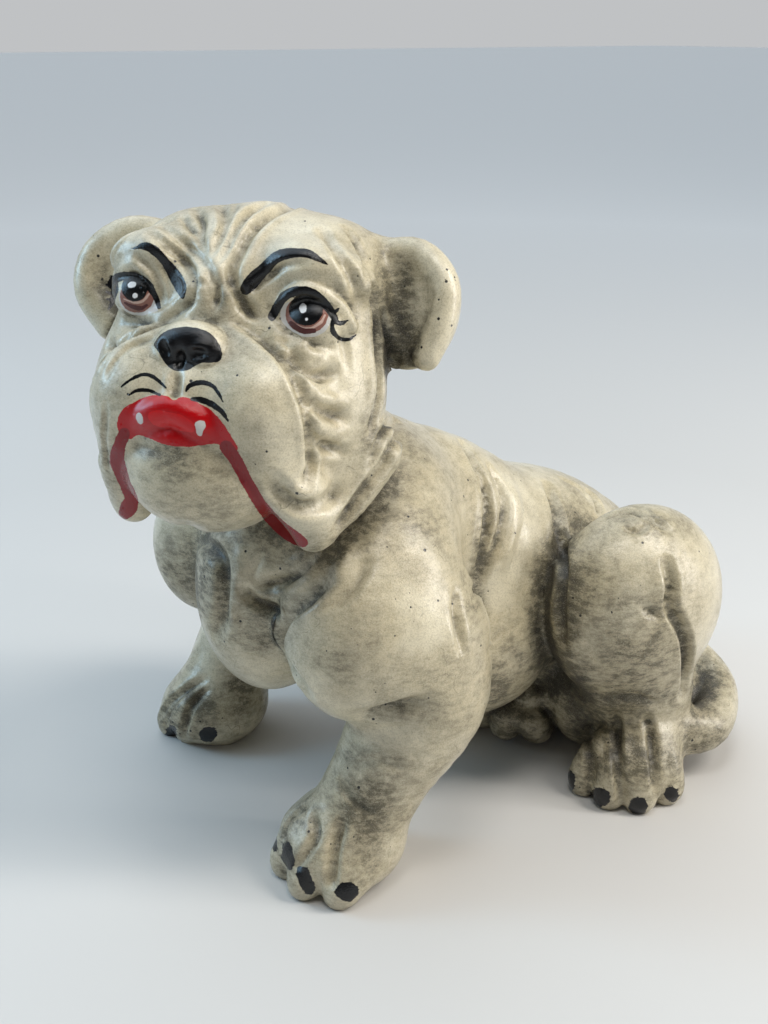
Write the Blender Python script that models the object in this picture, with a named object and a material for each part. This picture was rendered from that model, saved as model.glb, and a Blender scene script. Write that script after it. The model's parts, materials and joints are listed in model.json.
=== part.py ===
"""A sitting bulldog garden statue, cast in one piece in concrete.

The dog faces -Y, its left side is +X and it sits on the plane z = 0. The head is turned to its left.
The forms are measured in modules. A module is a 467th of the statue's height, about a millimetre.
"""

import math

import bmesh
import bpy
import numpy as np
from mathutils import Euler, Matrix, Vector

# Driving sizes, in metres
STATUE_HEIGHT = 0.460
MODULES_HIGH = 467
MODULE = STATUE_HEIGHT / MODULES_HIGH

# The middle of the base under the statue, in modules
MIDDLE = (10.9, 7.1)

# How finely the clay is worked, in modules
FIELD_STEP = 3.0
CLAY_GRAIN = 4.0
SETTLE_PASSES = 4
SOLID_TRIANGLES = 9400
FACE_CARE = 6.0
TOOL_PRESSURE = 1.3
TINY = 1e-6

# The concrete's look
CONCRETE_COLOUR = (0.50, 0.47, 0.40, 1.0)
CONCRETE_ROUGHNESS = 0.45


def frame_of(place, pitch=0.0, roll=0.0, yaw=0.0):
    """A local frame: its place in modules and its turns in degrees."""
    turn = Euler([math.radians(a) for a in (pitch, roll, yaw)], "XYZ").to_matrix().to_4x4()
    return Matrix.Translation(place) @ turn


BODY = frame_of((0, 0, 0))
HEAD = frame_of((11, -129, 363), pitch=-16.5, roll=1.0, yaw=37.0)

# The spot that the tool marks are laid out from: a view of 768 by 1024 points on the dog's front left
VIEW_AZIMUTH = math.radians(57)
VIEW_ELEVATION = math.radians(22)
VIEW_TARGET = (-2, -19, 221)
VIEW_DISTANCE = 940
VIEW_FOCUS = 1200

forms = []
marks = []


def ball(centre, radii, turn=(0, 0, 0), frame=BODY, blend=12):
    """An ellipsoid of clay."""
    axes = frame.to_3x3() @ Euler([math.radians(a) for a in turn], "XYZ").to_matrix()
    forms.append({
        "kind": "ball",
        "centre": np.array(frame @ Vector(centre)),
        "radii": np.array(radii, float),
        "axes": np.array(axes),
        "blend": float(blend),
    })


def curve_through(points, steps):
    """Points along a Catmull-Rom curve through rows of numbers, with this many steps a span."""
    p = np.array(points, float)
    p = np.vstack([2 * p[0] - p[1], p, 2 * p[-1] - p[-2]])
    t = np.linspace(0, 1, steps, endpoint=False)[:, None]
    spans = []
    for a, b, c, d in zip(p, p[1:], p[2:], p[3:]):
        turn = (2 * a - 5 * b + 4 * c - d) * t**2
        spans.append(0.5 * (2 * b + (c - a) * t + turn + (3 * b - a - 3 * c + d) * t**3))
    return np.vstack([*spans, p[-2:-1]])


def limb(path, frame=BODY, blend=12, steps=4):
    """A roll of clay along rows of (x, y, z, radius)."""
    rows = curve_through(path, steps)
    places = np.array([frame @ Vector(r[:3]) for r in rows])
    forms.append({
        "kind": "limb",
        "places": places,
        "radii": rows[:, 3],
        "blend": float(blend),
    })


def mirrored(points):
    """The same points on the dog's other side."""
    return [(-p[0], *p[1:]) for p in points]


def both_balls(centre, radii, turn=(0, 0, 0), **more):
    ball(centre, radii, turn, **more)
    ball((-centre[0], *centre[1:]), radii, (turn[0], -turn[1], -turn[2]), **more)


def both_limbs(path, **more):
    limb(path, **more)
    limb(mirrored(path), **more)


def mark(points, width, depth, twin=False, lip=0.25):
    """A tool mark along view points: a groove for a depth over zero, a roll for one under zero.

    With twin the head's other side gets the same mark.
    """
    marks.append({"points": points, "width": width, "depth": depth, "twin": twin, "lip": lip})


def smooth_min(a, b, k):
    h = np.clip(0.5 + 0.5 * (b - a) / k, 0, 1)
    return b * (1 - h) + a * h - k * h * (1 - h)


def ball_distance(form, points):
    local = (points - form["centre"]) @ form["axes"]
    inner = np.linalg.norm(local / form["radii"], axis=1)
    slope = np.linalg.norm(local / form["radii"] ** 2, axis=1)
    return inner * (inner - 1) / np.maximum(slope, TINY)


def limb_distance(form, points):
    nearest = np.full(len(points), np.inf)
    for a, b, ra, rb in zip(form["places"], form["places"][1:], form["radii"], form["radii"][1:]):
        along = b - a
        t = np.clip((points - a) @ along / max(along @ along, TINY), 0, 1)
        gap = np.linalg.norm(points - a - t[:, None] * along, axis=1) - (ra + (rb - ra) * t)
        nearest = np.minimum(nearest, gap)
    return nearest


def bounds_of(form):
    if form["kind"] == "ball":
        reach = np.linalg.norm(form["axes"] * form["radii"], axis=1)
        return form["centre"] - reach, form["centre"] + reach
    r = form["radii"].max()
    return form["places"].min(0) - r, form["places"].max(0) + r


class Field:
    """How far each spot lies outside the blended clay, on a grid in modules; inside it is negative."""

    def __init__(self, step):
        boxes = [bounds_of(form) for form in forms]
        self.step = step
        self.low = np.min([b[0] for b in boxes], axis=0) - 24
        high = np.max([b[1] for b in boxes], axis=0) + 24
        self.size = np.ceil((high - self.low) / step).astype(int) + 1
        self.values = np.full(self.size, 60.0)
        for form in forms:
            self.lay(form)

    def block(self, low, high):
        """The grid's block around a box: its slices, its spots and its shape."""
        first = np.clip(np.floor((low - self.low) / self.step).astype(int), 0, self.size - 1)
        last = np.clip(np.ceil((high - self.low) / self.step).astype(int) + 1, 1, self.size)
        slices = tuple(slice(a, b) for a, b in zip(first, last))
        spots = np.stack(np.meshgrid(*[np.arange(a, b) for a, b in zip(first, last)], indexing="ij"), -1)
        return slices, self.low + spots.reshape(-1, 3) * self.step, last - first

    def lay(self, form):
        low, high = bounds_of(form)
        margin = form["blend"] + 8
        part, spots, shape = self.block(low - margin, high + margin)
        distance = (ball_distance if form["kind"] == "ball" else limb_distance)(form, spots)
        self.values[part] = smooth_min(self.values[part], distance.reshape(shape), form["blend"])

    def score(self, path, m, cuts, rolls):
        """A tool mark along a path on the surface, noted in the depths of the cuts and of the rolls."""
        reach = 3 * m["width"] + self.step
        part, spots, shape = self.block(path.min(0) - reach, path.max(0) + reach)
        outward = even(self.slope(path), 6)
        outward /= np.maximum(np.linalg.norm(outward, axis=1), TINY)[:, None]
        nearest = np.full(len(spots), np.inf)
        aside = np.full(len(spots), np.inf)
        above = np.zeros(len(spots))
        place = np.zeros(len(spots))
        for i, (a, b) in enumerate(zip(path, path[1:])):
            along = b - a
            t = np.clip((spots - a) @ along / max(along @ along, TINY), 0, 1)
            gap = spots - a - t[:, None] * along
            distance = np.linalg.norm(gap, axis=1)
            closer = distance < nearest
            way = outward[i] + (outward[i + 1] - outward[i]) * t[closer, None]
            nearest[closer] = distance[closer]
            above[closer] = (gap[closer] * way).sum(1)
            aside[closer] = np.sqrt(np.maximum(distance[closer] ** 2 - above[closer] ** 2, 0))
            place[closer] = (i + t[closer]) / (len(path) - 1)
        fade = np.sqrt(np.clip(0.1 + 4 * np.minimum(place, 1 - place), 0, 1))
        fade *= np.clip(3 - np.abs(above) / m["width"], 0, 1)
        fade *= TOOL_PRESSURE * abs(m["depth"])
        ratio = aside / m["width"]
        depth = (fade * np.exp(-(ratio**2))).reshape(shape)
        rim = (fade * m["lip"] * np.exp(-2.5 * (ratio - 1.7) ** 2)).reshape(shape)
        if m["depth"] > 0:
            cuts[part] = np.maximum(cuts[part], depth)
            rolls[part] = np.maximum(rolls[part], rim)
        else:
            rolls[part] = np.maximum(rolls[part], depth)

    def at(self, points):
        spot = np.clip((points - self.low) / self.step, 0, self.size - 1 - TINY)
        whole = spot.astype(int)
        share = spot - whole
        found = np.zeros(len(points))
        for corner in np.ndindex(2, 2, 2):
            weight = np.prod(np.where(corner, share, 1 - share), axis=1)
            found += weight * self.values[tuple((whole + corner).T)]
        return found

    def slope(self, points):
        d = 0.5 * self.step
        return np.stack([self.at(points + d * e) - self.at(points - d * e) for e in np.eye(3)], 1) / (2 * d)

    def snapped(self, points, rounds=6):
        """Points moved onto the surface, along the slope."""
        p = np.array(points, float)
        for _ in range(rounds):
            slope = self.slope(p)
            p -= slope * (self.at(p) / np.maximum((slope**2).sum(1), 0.25))[:, None]
        return p

    def seen(self, view_points):
        """The surface spots behind points of the view."""
        a, e = VIEW_AZIMUTH, VIEW_ELEVATION
        back = np.array((math.sin(a) * math.cos(e), -math.cos(a) * math.cos(e), math.sin(e)))
        right = np.array((math.cos(a), math.sin(a), 0.0))
        up = np.cross(back, right)
        station = np.array(VIEW_TARGET) + back * VIEW_DISTANCE
        v = np.array(view_points, float)
        ray = right * (v[:, :1] - 384) + up * (512 - v[:, 1:2]) - back * VIEW_FOCUS
        ray /= np.linalg.norm(ray, axis=1)[:, None]
        reach = np.full(len(v), VIEW_DISTANCE - 340.0)
        for _ in range(90):
            reach += np.clip(self.at(station + ray * reach[:, None]), -4, 12) * 0.8
        return station + ray * reach[:, None]


def lumps_mesh():
    """The forms as one bunch of overlapping closed shapes."""
    bm = bmesh.new()
    bmesh.ops.create_icosphere(bm, subdivisions=3, radius=1.0)
    round_points = np.array([v.co[:] for v in bm.verts])
    round_faces = np.array([[v.index for v in f.verts] for f in bm.faces])
    bm.free()
    points = []
    faces = []
    for form in forms:
        if form["kind"] == "ball":
            spots = [(form["centre"], form["axes"] * form["radii"])]
        else:
            spots = []
            for a, b, ra, rb in zip(form["places"], form["places"][1:], form["radii"], form["radii"][1:]):
                count = max(2, int(np.linalg.norm(b - a) / (0.3 * min(ra, rb))))
                for t in np.linspace(0, 1, count):
                    spots.append((a + (b - a) * t, np.eye(3) * (ra + (rb - ra) * t)))
        for place, shape in spots:
            faces.append(round_faces + len(points) * len(round_points))
            points.append(place + round_points @ shape.T)
    mesh = bpy.data.meshes.new("lumps")
    mesh.from_pydata(np.vstack(points), [], np.vstack(faces))
    return mesh


def applied(obj, kind, **settings):
    """The object's mesh with one modifier of this kind applied."""
    modifier = obj.modifiers.new(kind.lower(), kind)
    for name, value in settings.items():
        setattr(modifier, name, value)
    graph = bpy.context.evaluated_depsgraph_get()
    graph.update()
    mesh = bpy.data.meshes.new_from_object(obj.evaluated_get(graph))
    obj.modifiers.clear()
    old = obj.data
    obj.data = mesh
    bpy.data.meshes.remove(old)


def points_of(mesh):
    points = np.empty(len(mesh.vertices) * 3)
    mesh.vertices.foreach_get("co", points)
    return points.reshape(-1, 3)


def set_points(mesh, points):
    mesh.vertices.foreach_set("co", points.ravel())
    mesh.update()


def relaxed(mesh, points, share):
    """Each point moved part of the way to the mean of its neighbours."""
    edges = np.empty(len(mesh.edges) * 2, int)
    mesh.edges.foreach_get("vertices", edges)
    a, b = edges.reshape(-1, 2).T
    total = np.zeros_like(points)
    np.add.at(total, a, points[b])
    np.add.at(total, b, points[a])
    count = np.bincount(np.concatenate([a, b]), minlength=len(points))[:, None]
    return points + share * (total / np.maximum(count, 1) - points)


def settle(mesh, field):
    """The rough remeshed lumps drawn onto the blended surface."""
    points = points_of(mesh)
    for _ in range(SETTLE_PASSES):
        points = relaxed(mesh, points, 0.5)
        points = field.snapped(points, rounds=2)
    set_points(mesh, points)


def even(rows, rounds):
    """Rows of numbers smoothed along their line, with the ends kept."""
    rows = rows.copy()
    for _ in range(rounds):
        rows[1:-1] = (rows[:-2] + 2 * rows[1:-1] + rows[2:]) / 4
    return rows


def carve(field):
    """The tool marks, worked into the blended clay, with the twins on the head's other side."""
    cuts = np.zeros_like(field.values)
    rolls = np.zeros_like(field.values)
    for m in marks:
        path = field.seen(curve_through(m["points"], 6))
        path = field.snapped(even(path[field.at(path) < field.step], 3))
        field.score(path, m, cuts, rolls)
        if m["twin"]:
            inward = HEAD.inverted()
            across = [HEAD @ Vector((-p[0], p[1], p[2])) for p in (inward @ Vector(q) for q in path)]
            field.score(even(field.snapped(across), 3), m, cuts, rolls)
    field.values += cuts - rolls


def model_body():
    """Chest, ribs, belly and rump, and the neck."""
    limb([(0, -70, 216, 80), (0, 0, 207, 80), (4, 61, 164, 86), (0, 122, 138, 90), (0, 156, 122, 85)],
         blend=20)
    ball((0, -100, 204), (84, 60, 84), blend=20)
    ball((0, -126, 180), (60, 50, 76), blend=18)
    ball((16, 32, 120), (92, 82, 74), blend=20)
    ball((-12, 96, 40), (52, 60, 50), blend=18)
    ball((82, 140, 50), (36, 42, 48), blend=14)
    ball((0, 160, 80), (96, 70, 84), blend=20)
    limb([(0, -44, 226, 74), (5, -86, 290, 57), (8, -116, 335, 68)], blend=22)


def model_front_leg(side, chest, foot, ahead, toes):
    """A foreleg: how far forward the chest swells over it, and how far out and forward its paw stands."""
    limb([(side * 50, -52, 248, 50), (side * 80, -74, 222, 57), (side * 98, -84, 194, 56)], blend=28)
    ball((side * 104, -chest, 184), (46, 46, 60), blend=22)
    limb([(side * 106, -66, 170, 57), (side * 114, -64, 128, 48), (side * (foot + 4), -86 - ahead, 80, 37),
          (side * (foot + 1), -108 - ahead, 42, 35)], blend=18)
    ball((side * (foot - 3), -120 - ahead, 23), (46, 46, 32), blend=14)
    for x, y in toes:
        limb([(side * (foot + x * 0.5), -112 - ahead, 42, 14),
              (side * (foot + x * 0.9), y + 20 - ahead, 26, 16),
              (side * (foot + x), y + 4 - ahead, 14, 15), (side * (foot + x), y - ahead, 8, 12)], blend=4)


def model_left_hind_leg():
    ball((122, 136, 152), (56, 78, 80), blend=10)
    limb([(116, 146, 84, 50), (126, 154, 56, 36), (142, 136, 40, 30)], blend=14)
    ball((148, 128, 24), (36, 38, 27), (0, 0, 35), blend=12)
    for x, y in [(132, 88), (156, 92), (173, 108), (176, 134)]:
        limb([((x + 138) / 2, (y + 150) / 2, 44, 13), (x * 0.8 + 28, y * 0.8 + 28, 32, 14), (x, y, 15, 14),
              (x, y - 1, 8, 12)], blend=4)


def model_right_hind_leg():
    """The leg that the dog leans on: the thigh lies low and the paw comes out under the belly."""
    ball((-104, 132, 112), (56, 84, 76), blend=12)
    limb([(-120, 150, 40, 40), (-112, 96, 38, 38), (-88, 62, 32, 32), (-40, 60, 26, 26)], blend=18)
    ball((22, 106, 24), (34, 32, 26), blend=10)
    for x, y, z, r in [(33, 90, 36, 15), (56, 116, 36, 15), (41, 78, 18, 14), (58, 98, 18, 15)]:
        ball((x, y, z), (r, r, r), blend=3)


def model_tail():
    limb([(20, 226, 64, 24), (74, 246, 56, 20), (118, 243, 48, 17), (146, 220, 42, 17), (158, 190, 37, 19),
          (146, 160, 38, 18), (132, 140, 42, 14)], blend=10)
    ball((106, 186, 20), (38, 40, 28), blend=10)
    ball((98, 204, 42), (34, 30, 28), blend=10)


def model_head():
    """Skull, cheeks, muzzle with its hanging lips, chin, nose, brows and eyes."""
    ball((0, 4, 40), (62, 82, 65), frame=HEAD, blend=16)
    both_balls((44, 0, 42), (50, 67, 56), frame=HEAD, blend=16)
    both_balls((54, -22, -22), (45, 50, 72), frame=HEAD, blend=16)
    ball((-60, -20, -40), (44, 48, 60), frame=HEAD, blend=16)
    ball((0, -56, -30), (54, 50, 40), frame=HEAD, blend=14)
    both_balls((37, -62, -33), (45, 46, 45), frame=HEAD, blend=8)
    for side, narrow in [(1, 0), (-1, 9)]:
        limb([(side * 44, -76, -54, 24), (side * (60 - narrow / 2), -62, -76, 21),
              (side * (68 - narrow), -50, -94, 17), (side * (70 - narrow), -44, -106, 13)],
             frame=HEAD, blend=8)
        limb([(side * (74 - narrow), -42, -98, 14), (side * (82 - narrow), -28, -80, 18),
              (side * 90, -12, -52, 22)], frame=HEAD, blend=8)
    ball((0, -62, -74), (56, 46, 40), frame=HEAD, blend=3)
    ball((-2, -60, 20), (22, 20, 28), frame=HEAD, blend=14)
    both_balls((24, -56, -4), (34, 32, 30), frame=HEAD, blend=14)
    ball((-5, -87, 5), (23, 14, 14), frame=HEAD, blend=3)
    ball((7, -90, 0), (12, 10, 12), frame=HEAD, blend=3)
    ball((-17, -90, 0), (12, 10, 12), frame=HEAD, blend=3)
    both_balls((60, -50, 58), (34, 22, 18), (0, 10, 20), frame=HEAD, blend=8)
    ball((61, -55, 26), (21, 17, 17), frame=HEAD, blend=2)
    ball((-61, -55, 32), (21, 17, 17), frame=HEAD, blend=2)
    limb([(39, -62, 24, 4), (46, -68, 38, 5), (60, -69, 45, 5), (76, -60, 38, 5), (84, -50, 26, 4)],
         frame=HEAD, blend=3)
    limb([(-39, -62, 30, 4), (-46, -68, 44, 5), (-60, -69, 51, 5), (-76, -60, 44, 5), (-84, -50, 32, 4)],
         frame=HEAD, blend=3)
    limb([(-40, -88, -54, 8), (-22, -100, -42, 11), (-5, -103, -37, 10), (12, -100, -42, 11),
          (30, -90, -56, 8)], frame=HEAD, blend=3)
    limb([(-26, -94, -56, 7), (-4, -100, -54, 9), (20, -94, -58, 7)], frame=HEAD, blend=3)


def model_ears():
    left = [(78, 6, 75, 13), (106, 0, 79, 9), (126, -5, 62, 9), (129, -8, 38, 9), (121, -8, 13, 9)]
    limb(left, frame=HEAD, blend=10)
    ball((102, 3, 43), (34, 10, 40), frame=HEAD, blend=9)
    right = [(-78, 6, 74, 14), (-108, 2, 77, 12), (-131, -3, 60, 12), (-132, -7, 34, 12),
             (-112, -8, 12, 12)]
    limb(right, frame=HEAD, blend=10)
    ball((-104, 2, 44), (36, 12, 39), frame=HEAD, blend=9)


def mark_face():
    mark([(220, 199), (225, 216), (222, 231), (211, 256)], 4.5, 4)
    mark([(196, 208), (202, 222), (200, 240), (207, 258)], 4, 3.5)
    mark([(162, 226), (182, 241), (200, 258), (210, 276), (206, 296)], 4.5, 4)
    mark([(152, 232), (170, 246), (186, 263), (195, 282), (190, 300), (176, 312)], 5, 4.5)
    mark([(267, 202), (246, 214), (231, 236), (221, 262)], 4.5, 4.5)
    mark([(296, 206), (270, 214), (250, 230), (239, 250), (231, 268), (232, 285), (242, 301), (256, 320)],
         5.5, 5.5)
    mark([(217, 276), (216, 292), (214, 306)], 5, 4)
    mark([(202, 264), (203, 282), (197, 302)], 8, -4)
    mark([(228, 284), (233, 304)], 8, -3)
    mark([(256, 322), (272, 337), (290, 347)], 5, 3)
    mark([(186, 303), (170, 314), (150, 321), (124, 323)], 5, 3)
    mark([(288, 350), (301, 366), (317, 376), (334, 370)], 5.5, 6, twin=True)
    mark([(292, 340), (308, 356), (328, 358)], 8, -3)
    mark([(305, 392), (320, 410), (342, 416)], 6, 6, twin=True)
    mark([(309, 430), (322, 446), (343, 451)], 5, 5, twin=True)
    mark([(322, 231), (340, 256), (352, 276), (360, 300)], 5, 3.5, twin=True)
    mark([(240, 322), (256, 332), (277, 350), (292, 370), (302, 393), (310, 420), (312, 450), (311, 474),
          (300, 486)], 5.5, 6, twin=True)
    mark([(273, 481), (282, 496), (300, 508), (321, 505), (336, 492)], 7, 6)
    mark([(367, 262), (377, 305), (378, 355), (380, 393), (370, 430)], 5, 4.5)
    mark([(177, 372), (174, 396)], 4.5, 3.5)


def mark_body():
    mark([(190, 527), (207, 543), (220, 560), (223, 587), (222, 613), (215, 634)], 9, 6, lip=0.1)
    mark([(240, 556), (236, 590), (232, 622)], 8, -4)
    mark([(326, 580), (307, 597), (290, 611), (283, 634), (290, 664), (305, 690)], 9, 7)
    mark([(240, 587), (257, 603), (280, 612)], 6, 5)
    mark([(250, 587), (273, 583), (297, 573), (313, 558)], 6, 4)
    mark([(350, 548), (337, 578)], 7, -4)
    mark([(462, 442), (477, 468), (486, 490), (488, 514), (485, 542), (479, 572), (475, 592)], 5, 7)
    mark([(490, 467), (502, 490), (505, 512), (498, 540), (488, 562), (480, 584)], 5, 6)
    mark([(513, 487), (516, 512), (507, 548), (490, 572)], 8, -3)
    mark([(548, 486), (556, 508), (560, 532), (564, 564), (560, 604), (562, 640)], 7, 7)
    mark([(605, 527), (588, 547), (578, 575), (572, 612), (573, 650), (581, 682)], 6, 6, lip=0.1)
    mark([(600, 520), (628, 511), (652, 519), (668, 530)], 5, 5)
    mark([(587, 490), (597, 502), (600, 516)], 5, 4)
    mark([(667, 563), (672, 586), (670, 607), (680, 625), (686, 642), (686, 676), (682, 694)], 6, 8)
    mark([(644, 608), (658, 616), (670, 608)], 5, 4, lip=0.1)
    mark([(457, 590), (457, 614), (462, 650)], 5, 4)
    mark([(363, 716), (393, 710), (425, 702)], 9, 5)
    mark([(397, 420), (388, 458), (370, 482), (353, 507), (337, 528)], 5, 5)


def mark_toes():
    mark([(313, 815), (316, 836), (298, 866)], 4.5, 5)
    mark([(342, 822), (334, 850), (331, 884)], 5, 5)
    mark([(306, 806), (288, 820), (282, 842)], 4.5, 5)
    mark([(616, 712), (617, 745), (620, 800)], 5, 6)
    mark([(648, 718), (653, 750), (656, 800)], 5, 5)
    mark([(590, 728), (591, 776)], 5, 4)
    mark([(205, 679), (184, 690), (170, 701), (160, 716)], 4.5, 4.5)
    mark([(206, 690), (190, 708), (183, 736)], 4.5, 4)
    mark([(190, 688), (174, 702), (165, 722)], 4.5, 4)


def model_forms():
    model_body()
    model_front_leg(1, 112, 108, 6, [(-44, -134), (-18, -157), (9, -158), (31, -142)])
    model_front_leg(-1, 122, 122, 0, [(-28, -122), (-9, -148), (10, -156), (31, -141)])
    model_left_hind_leg()
    model_right_hind_leg()
    model_tail()
    model_head()
    model_ears()
    mark_face()
    mark_body()
    mark_toes()


def spare_the_face(statue):
    """A weight that lets the plain body lose its triangles before the face does."""
    points = points_of(statue.data)
    away = np.linalg.norm(points - np.array(HEAD @ Vector((0, -60, -10))), axis=1)
    weights = np.clip((away - 90) / 30, 0, 1)
    plain = statue.vertex_groups.new(name="plain")
    for level in np.unique(np.round(weights, 1)):
        chosen = np.flatnonzero(np.round(weights, 1) == level)
        plain.add(chosen.tolist(), 0.2 + 0.8 * float(level), "REPLACE")


def cut_flat(bm, height):
    """The part under a height sawn off and the cut closed."""
    everything = bm.verts[:] + bm.edges[:] + bm.faces[:]
    down = (0, 0, -1)
    bmesh.ops.bisect_plane(bm, geom=everything, plane_co=(0, 0, height), plane_no=down, clear_outer=True)
    rims = [e for e in bm.edges if e.is_boundary]
    bmesh.ops.holes_fill(bm, edges=rims, sides=0)


def cast_statue():
    """The finished casting, at real size, with its middle over the origin."""
    field = Field(FIELD_STEP)
    carve(field)
    statue = bpy.data.objects.new("bulldog_statue", lumps_mesh())
    bpy.context.scene.collection.objects.link(statue)
    applied(statue, "REMESH", mode="VOXEL", voxel_size=CLAY_GRAIN)
    settle(statue.data, field)
    share = SOLID_TRIANGLES / sum(len(p.vertices) - 2 for p in statue.data.polygons)
    spare_the_face(statue)
    applied(statue, "DECIMATE", ratio=share, vertex_group="plain", vertex_group_factor=FACE_CARE)
    bm = bmesh.new()
    bm.from_mesh(statue.data)
    cut_flat(bm, 0.0)
    bmesh.ops.triangulate(bm, faces=bm.faces[:])
    bmesh.ops.translate(bm, vec=(-MIDDLE[0], -MIDDLE[1], 0), verts=bm.verts[:])
    bmesh.ops.scale(bm, vec=(MODULE, MODULE, MODULE), verts=bm.verts[:])
    bm.to_mesh(statue.data)
    bm.free()
    return statue


def concrete():
    material = bpy.data.materials.new("concrete")
    material.use_nodes = True
    shader = material.node_tree.nodes["Principled BSDF"]
    shader.inputs["Base Color"].default_value = CONCRETE_COLOUR
    shader.inputs["Roughness"].default_value = CONCRETE_ROUGHNESS
    material.diffuse_color = CONCRETE_COLOUR
    return material


for old in list(bpy.data.objects):
    bpy.data.objects.remove(old)
model_forms()
bulldog = cast_statue()
bulldog.data.materials.append(concrete())
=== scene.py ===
import json
import math

import bmesh
import bpy
import numpy as np
from mathutils import Euler, Matrix, Vector

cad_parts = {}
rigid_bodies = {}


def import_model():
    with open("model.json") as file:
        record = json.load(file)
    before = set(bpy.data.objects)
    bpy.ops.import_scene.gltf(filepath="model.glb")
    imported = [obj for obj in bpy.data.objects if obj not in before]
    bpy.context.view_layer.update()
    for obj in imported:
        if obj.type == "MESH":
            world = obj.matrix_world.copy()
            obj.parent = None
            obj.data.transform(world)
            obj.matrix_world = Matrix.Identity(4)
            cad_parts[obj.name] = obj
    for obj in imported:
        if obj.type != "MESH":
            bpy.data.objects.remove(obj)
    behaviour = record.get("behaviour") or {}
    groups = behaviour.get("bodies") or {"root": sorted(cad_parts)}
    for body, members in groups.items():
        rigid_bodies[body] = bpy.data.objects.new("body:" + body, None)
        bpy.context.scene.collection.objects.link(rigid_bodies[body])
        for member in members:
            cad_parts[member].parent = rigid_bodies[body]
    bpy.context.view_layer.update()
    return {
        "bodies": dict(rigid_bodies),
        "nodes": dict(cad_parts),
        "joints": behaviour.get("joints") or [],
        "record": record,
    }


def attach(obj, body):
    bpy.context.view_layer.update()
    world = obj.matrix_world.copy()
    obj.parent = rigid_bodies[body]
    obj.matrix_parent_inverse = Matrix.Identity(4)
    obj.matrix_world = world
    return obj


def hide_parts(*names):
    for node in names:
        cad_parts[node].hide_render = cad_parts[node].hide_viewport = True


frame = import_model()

# The bulldog is worked in modules, 467 to its height of 0.460 m, about a millimetre each
MODULE = 0.460 / 467
MIDDLE = (10.9, 7.1)
FIELD_STEP = 2.2
CLAY_GRAIN = 1.9
SETTLE_PASSES = 4
SKIN_TRIANGLES = 128000
TOOL_PRESSURE = 1.3
FINE_TOOLS = 0.74
FIELD_MARGIN = 24
OPEN_AIR = 60.0
TINY = 1e-6


def frame_of(place, pitch=0.0, roll=0.0, yaw=0.0):
    """A local frame: its place in modules and its turns in degrees."""
    turn = Euler([math.radians(a) for a in (pitch, roll, yaw)], "XYZ").to_matrix().to_4x4()
    return Matrix.Translation(place) @ turn


BODY = frame_of((0, 0, 0))
HEAD = frame_of((11, -129, 363), pitch=-16.5, roll=1.0, yaw=37.0)

# The spot that the tool marks are laid out from: a view of 768 by 1024 points on the dog's front left
VIEW_AZIMUTH = math.radians(57)
VIEW_ELEVATION = math.radians(22)
VIEW_TARGET = (-2, -19, 221)
VIEW_DISTANCE = 940
VIEW_FOCUS = 1200
VIEW_WIDE, VIEW_HIGH = 768, 1024

# The belly paw's toes: the middle of each on the view, and how far it lies from the camera along it
BELLY_TOES = [(508, 716, 1022), (529.5, 697, 1026), (533, 722, 1017), (556, 696, 1020)]

forms = []
marks = []


def ball(centre, radii, turn=(0, 0, 0), frame=BODY, blend=12):
    """An ellipsoid of clay."""
    axes = frame.to_3x3() @ Euler([math.radians(a) for a in turn], "XYZ").to_matrix()
    forms.append({
        "kind": "ball",
        "centre": np.array(frame @ Vector(centre)),
        "radii": np.array(radii, float),
        "axes": np.array(axes),
        "blend": float(blend),
    })


def curve_through(points, steps):
    """Points along a Catmull-Rom curve through rows of numbers, with this many steps a span."""
    p = np.array(points, float)
    p = np.vstack([2 * p[0] - p[1], p, 2 * p[-1] - p[-2]])
    t = np.linspace(0, 1, steps, endpoint=False)[:, None]
    spans = []
    for a, b, c, d in zip(p, p[1:], p[2:], p[3:]):
        turn = (2 * a - 5 * b + 4 * c - d) * t**2
        spans.append(0.5 * (2 * b + (c - a) * t + turn + (3 * b - a - 3 * c + d) * t**3))
    return np.vstack([*spans, p[-2:-1]])


def limb(path, frame=BODY, blend=12, steps=4):
    """A roll of clay along rows of (x, y, z, radius)."""
    rows = curve_through(path, steps)
    places = np.array([frame @ Vector(r[:3]) for r in rows])
    forms.append({
        "kind": "limb",
        "places": places,
        "radii": rows[:, 3],
        "blend": float(blend),
    })


def both_balls(centre, radii, turn=(0, 0, 0), **more):
    ball(centre, radii, turn, **more)
    ball((-centre[0], *centre[1:]), radii, (turn[0], -turn[1], -turn[2]), **more)


def mark(points, width, depth, twin=False, lip=0.25):
    """A tool mark along view points: a groove for a depth over zero, a roll for one under zero.

    With twin the head's other side gets the same mark.
    """
    marks.append({"points": points, "width": width, "depth": depth, "twin": twin, "lip": lip})


def smooth_min(a, b, k):
    h = np.clip(0.5 + 0.5 * (b - a) / k, 0, 1)
    return b * (1 - h) + a * h - k * h * (1 - h)


def ball_distance(form, points):
    local = (points - form["centre"]) @ form["axes"]
    inner = np.linalg.norm(local / form["radii"], axis=1)
    slope = np.linalg.norm(local / form["radii"] ** 2, axis=1)
    return inner * (inner - 1) / np.maximum(slope, TINY)


def limb_distance(form, points):
    nearest = np.full(len(points), np.inf)
    for a, b, ra, rb in zip(form["places"], form["places"][1:], form["radii"], form["radii"][1:]):
        along = b - a
        t = np.clip((points - a) @ along / max(along @ along, TINY), 0, 1)
        gap = np.linalg.norm(points - a - t[:, None] * along, axis=1) - (ra + (rb - ra) * t)
        nearest = np.minimum(nearest, gap)
    return nearest


def bounds_of(form):
    if form["kind"] == "ball":
        reach = np.linalg.norm(form["axes"] * form["radii"], axis=1)
        return form["centre"] - reach, form["centre"] + reach
    r = form["radii"].max()
    return form["places"].min(0) - r, form["places"].max(0) + r


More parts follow.
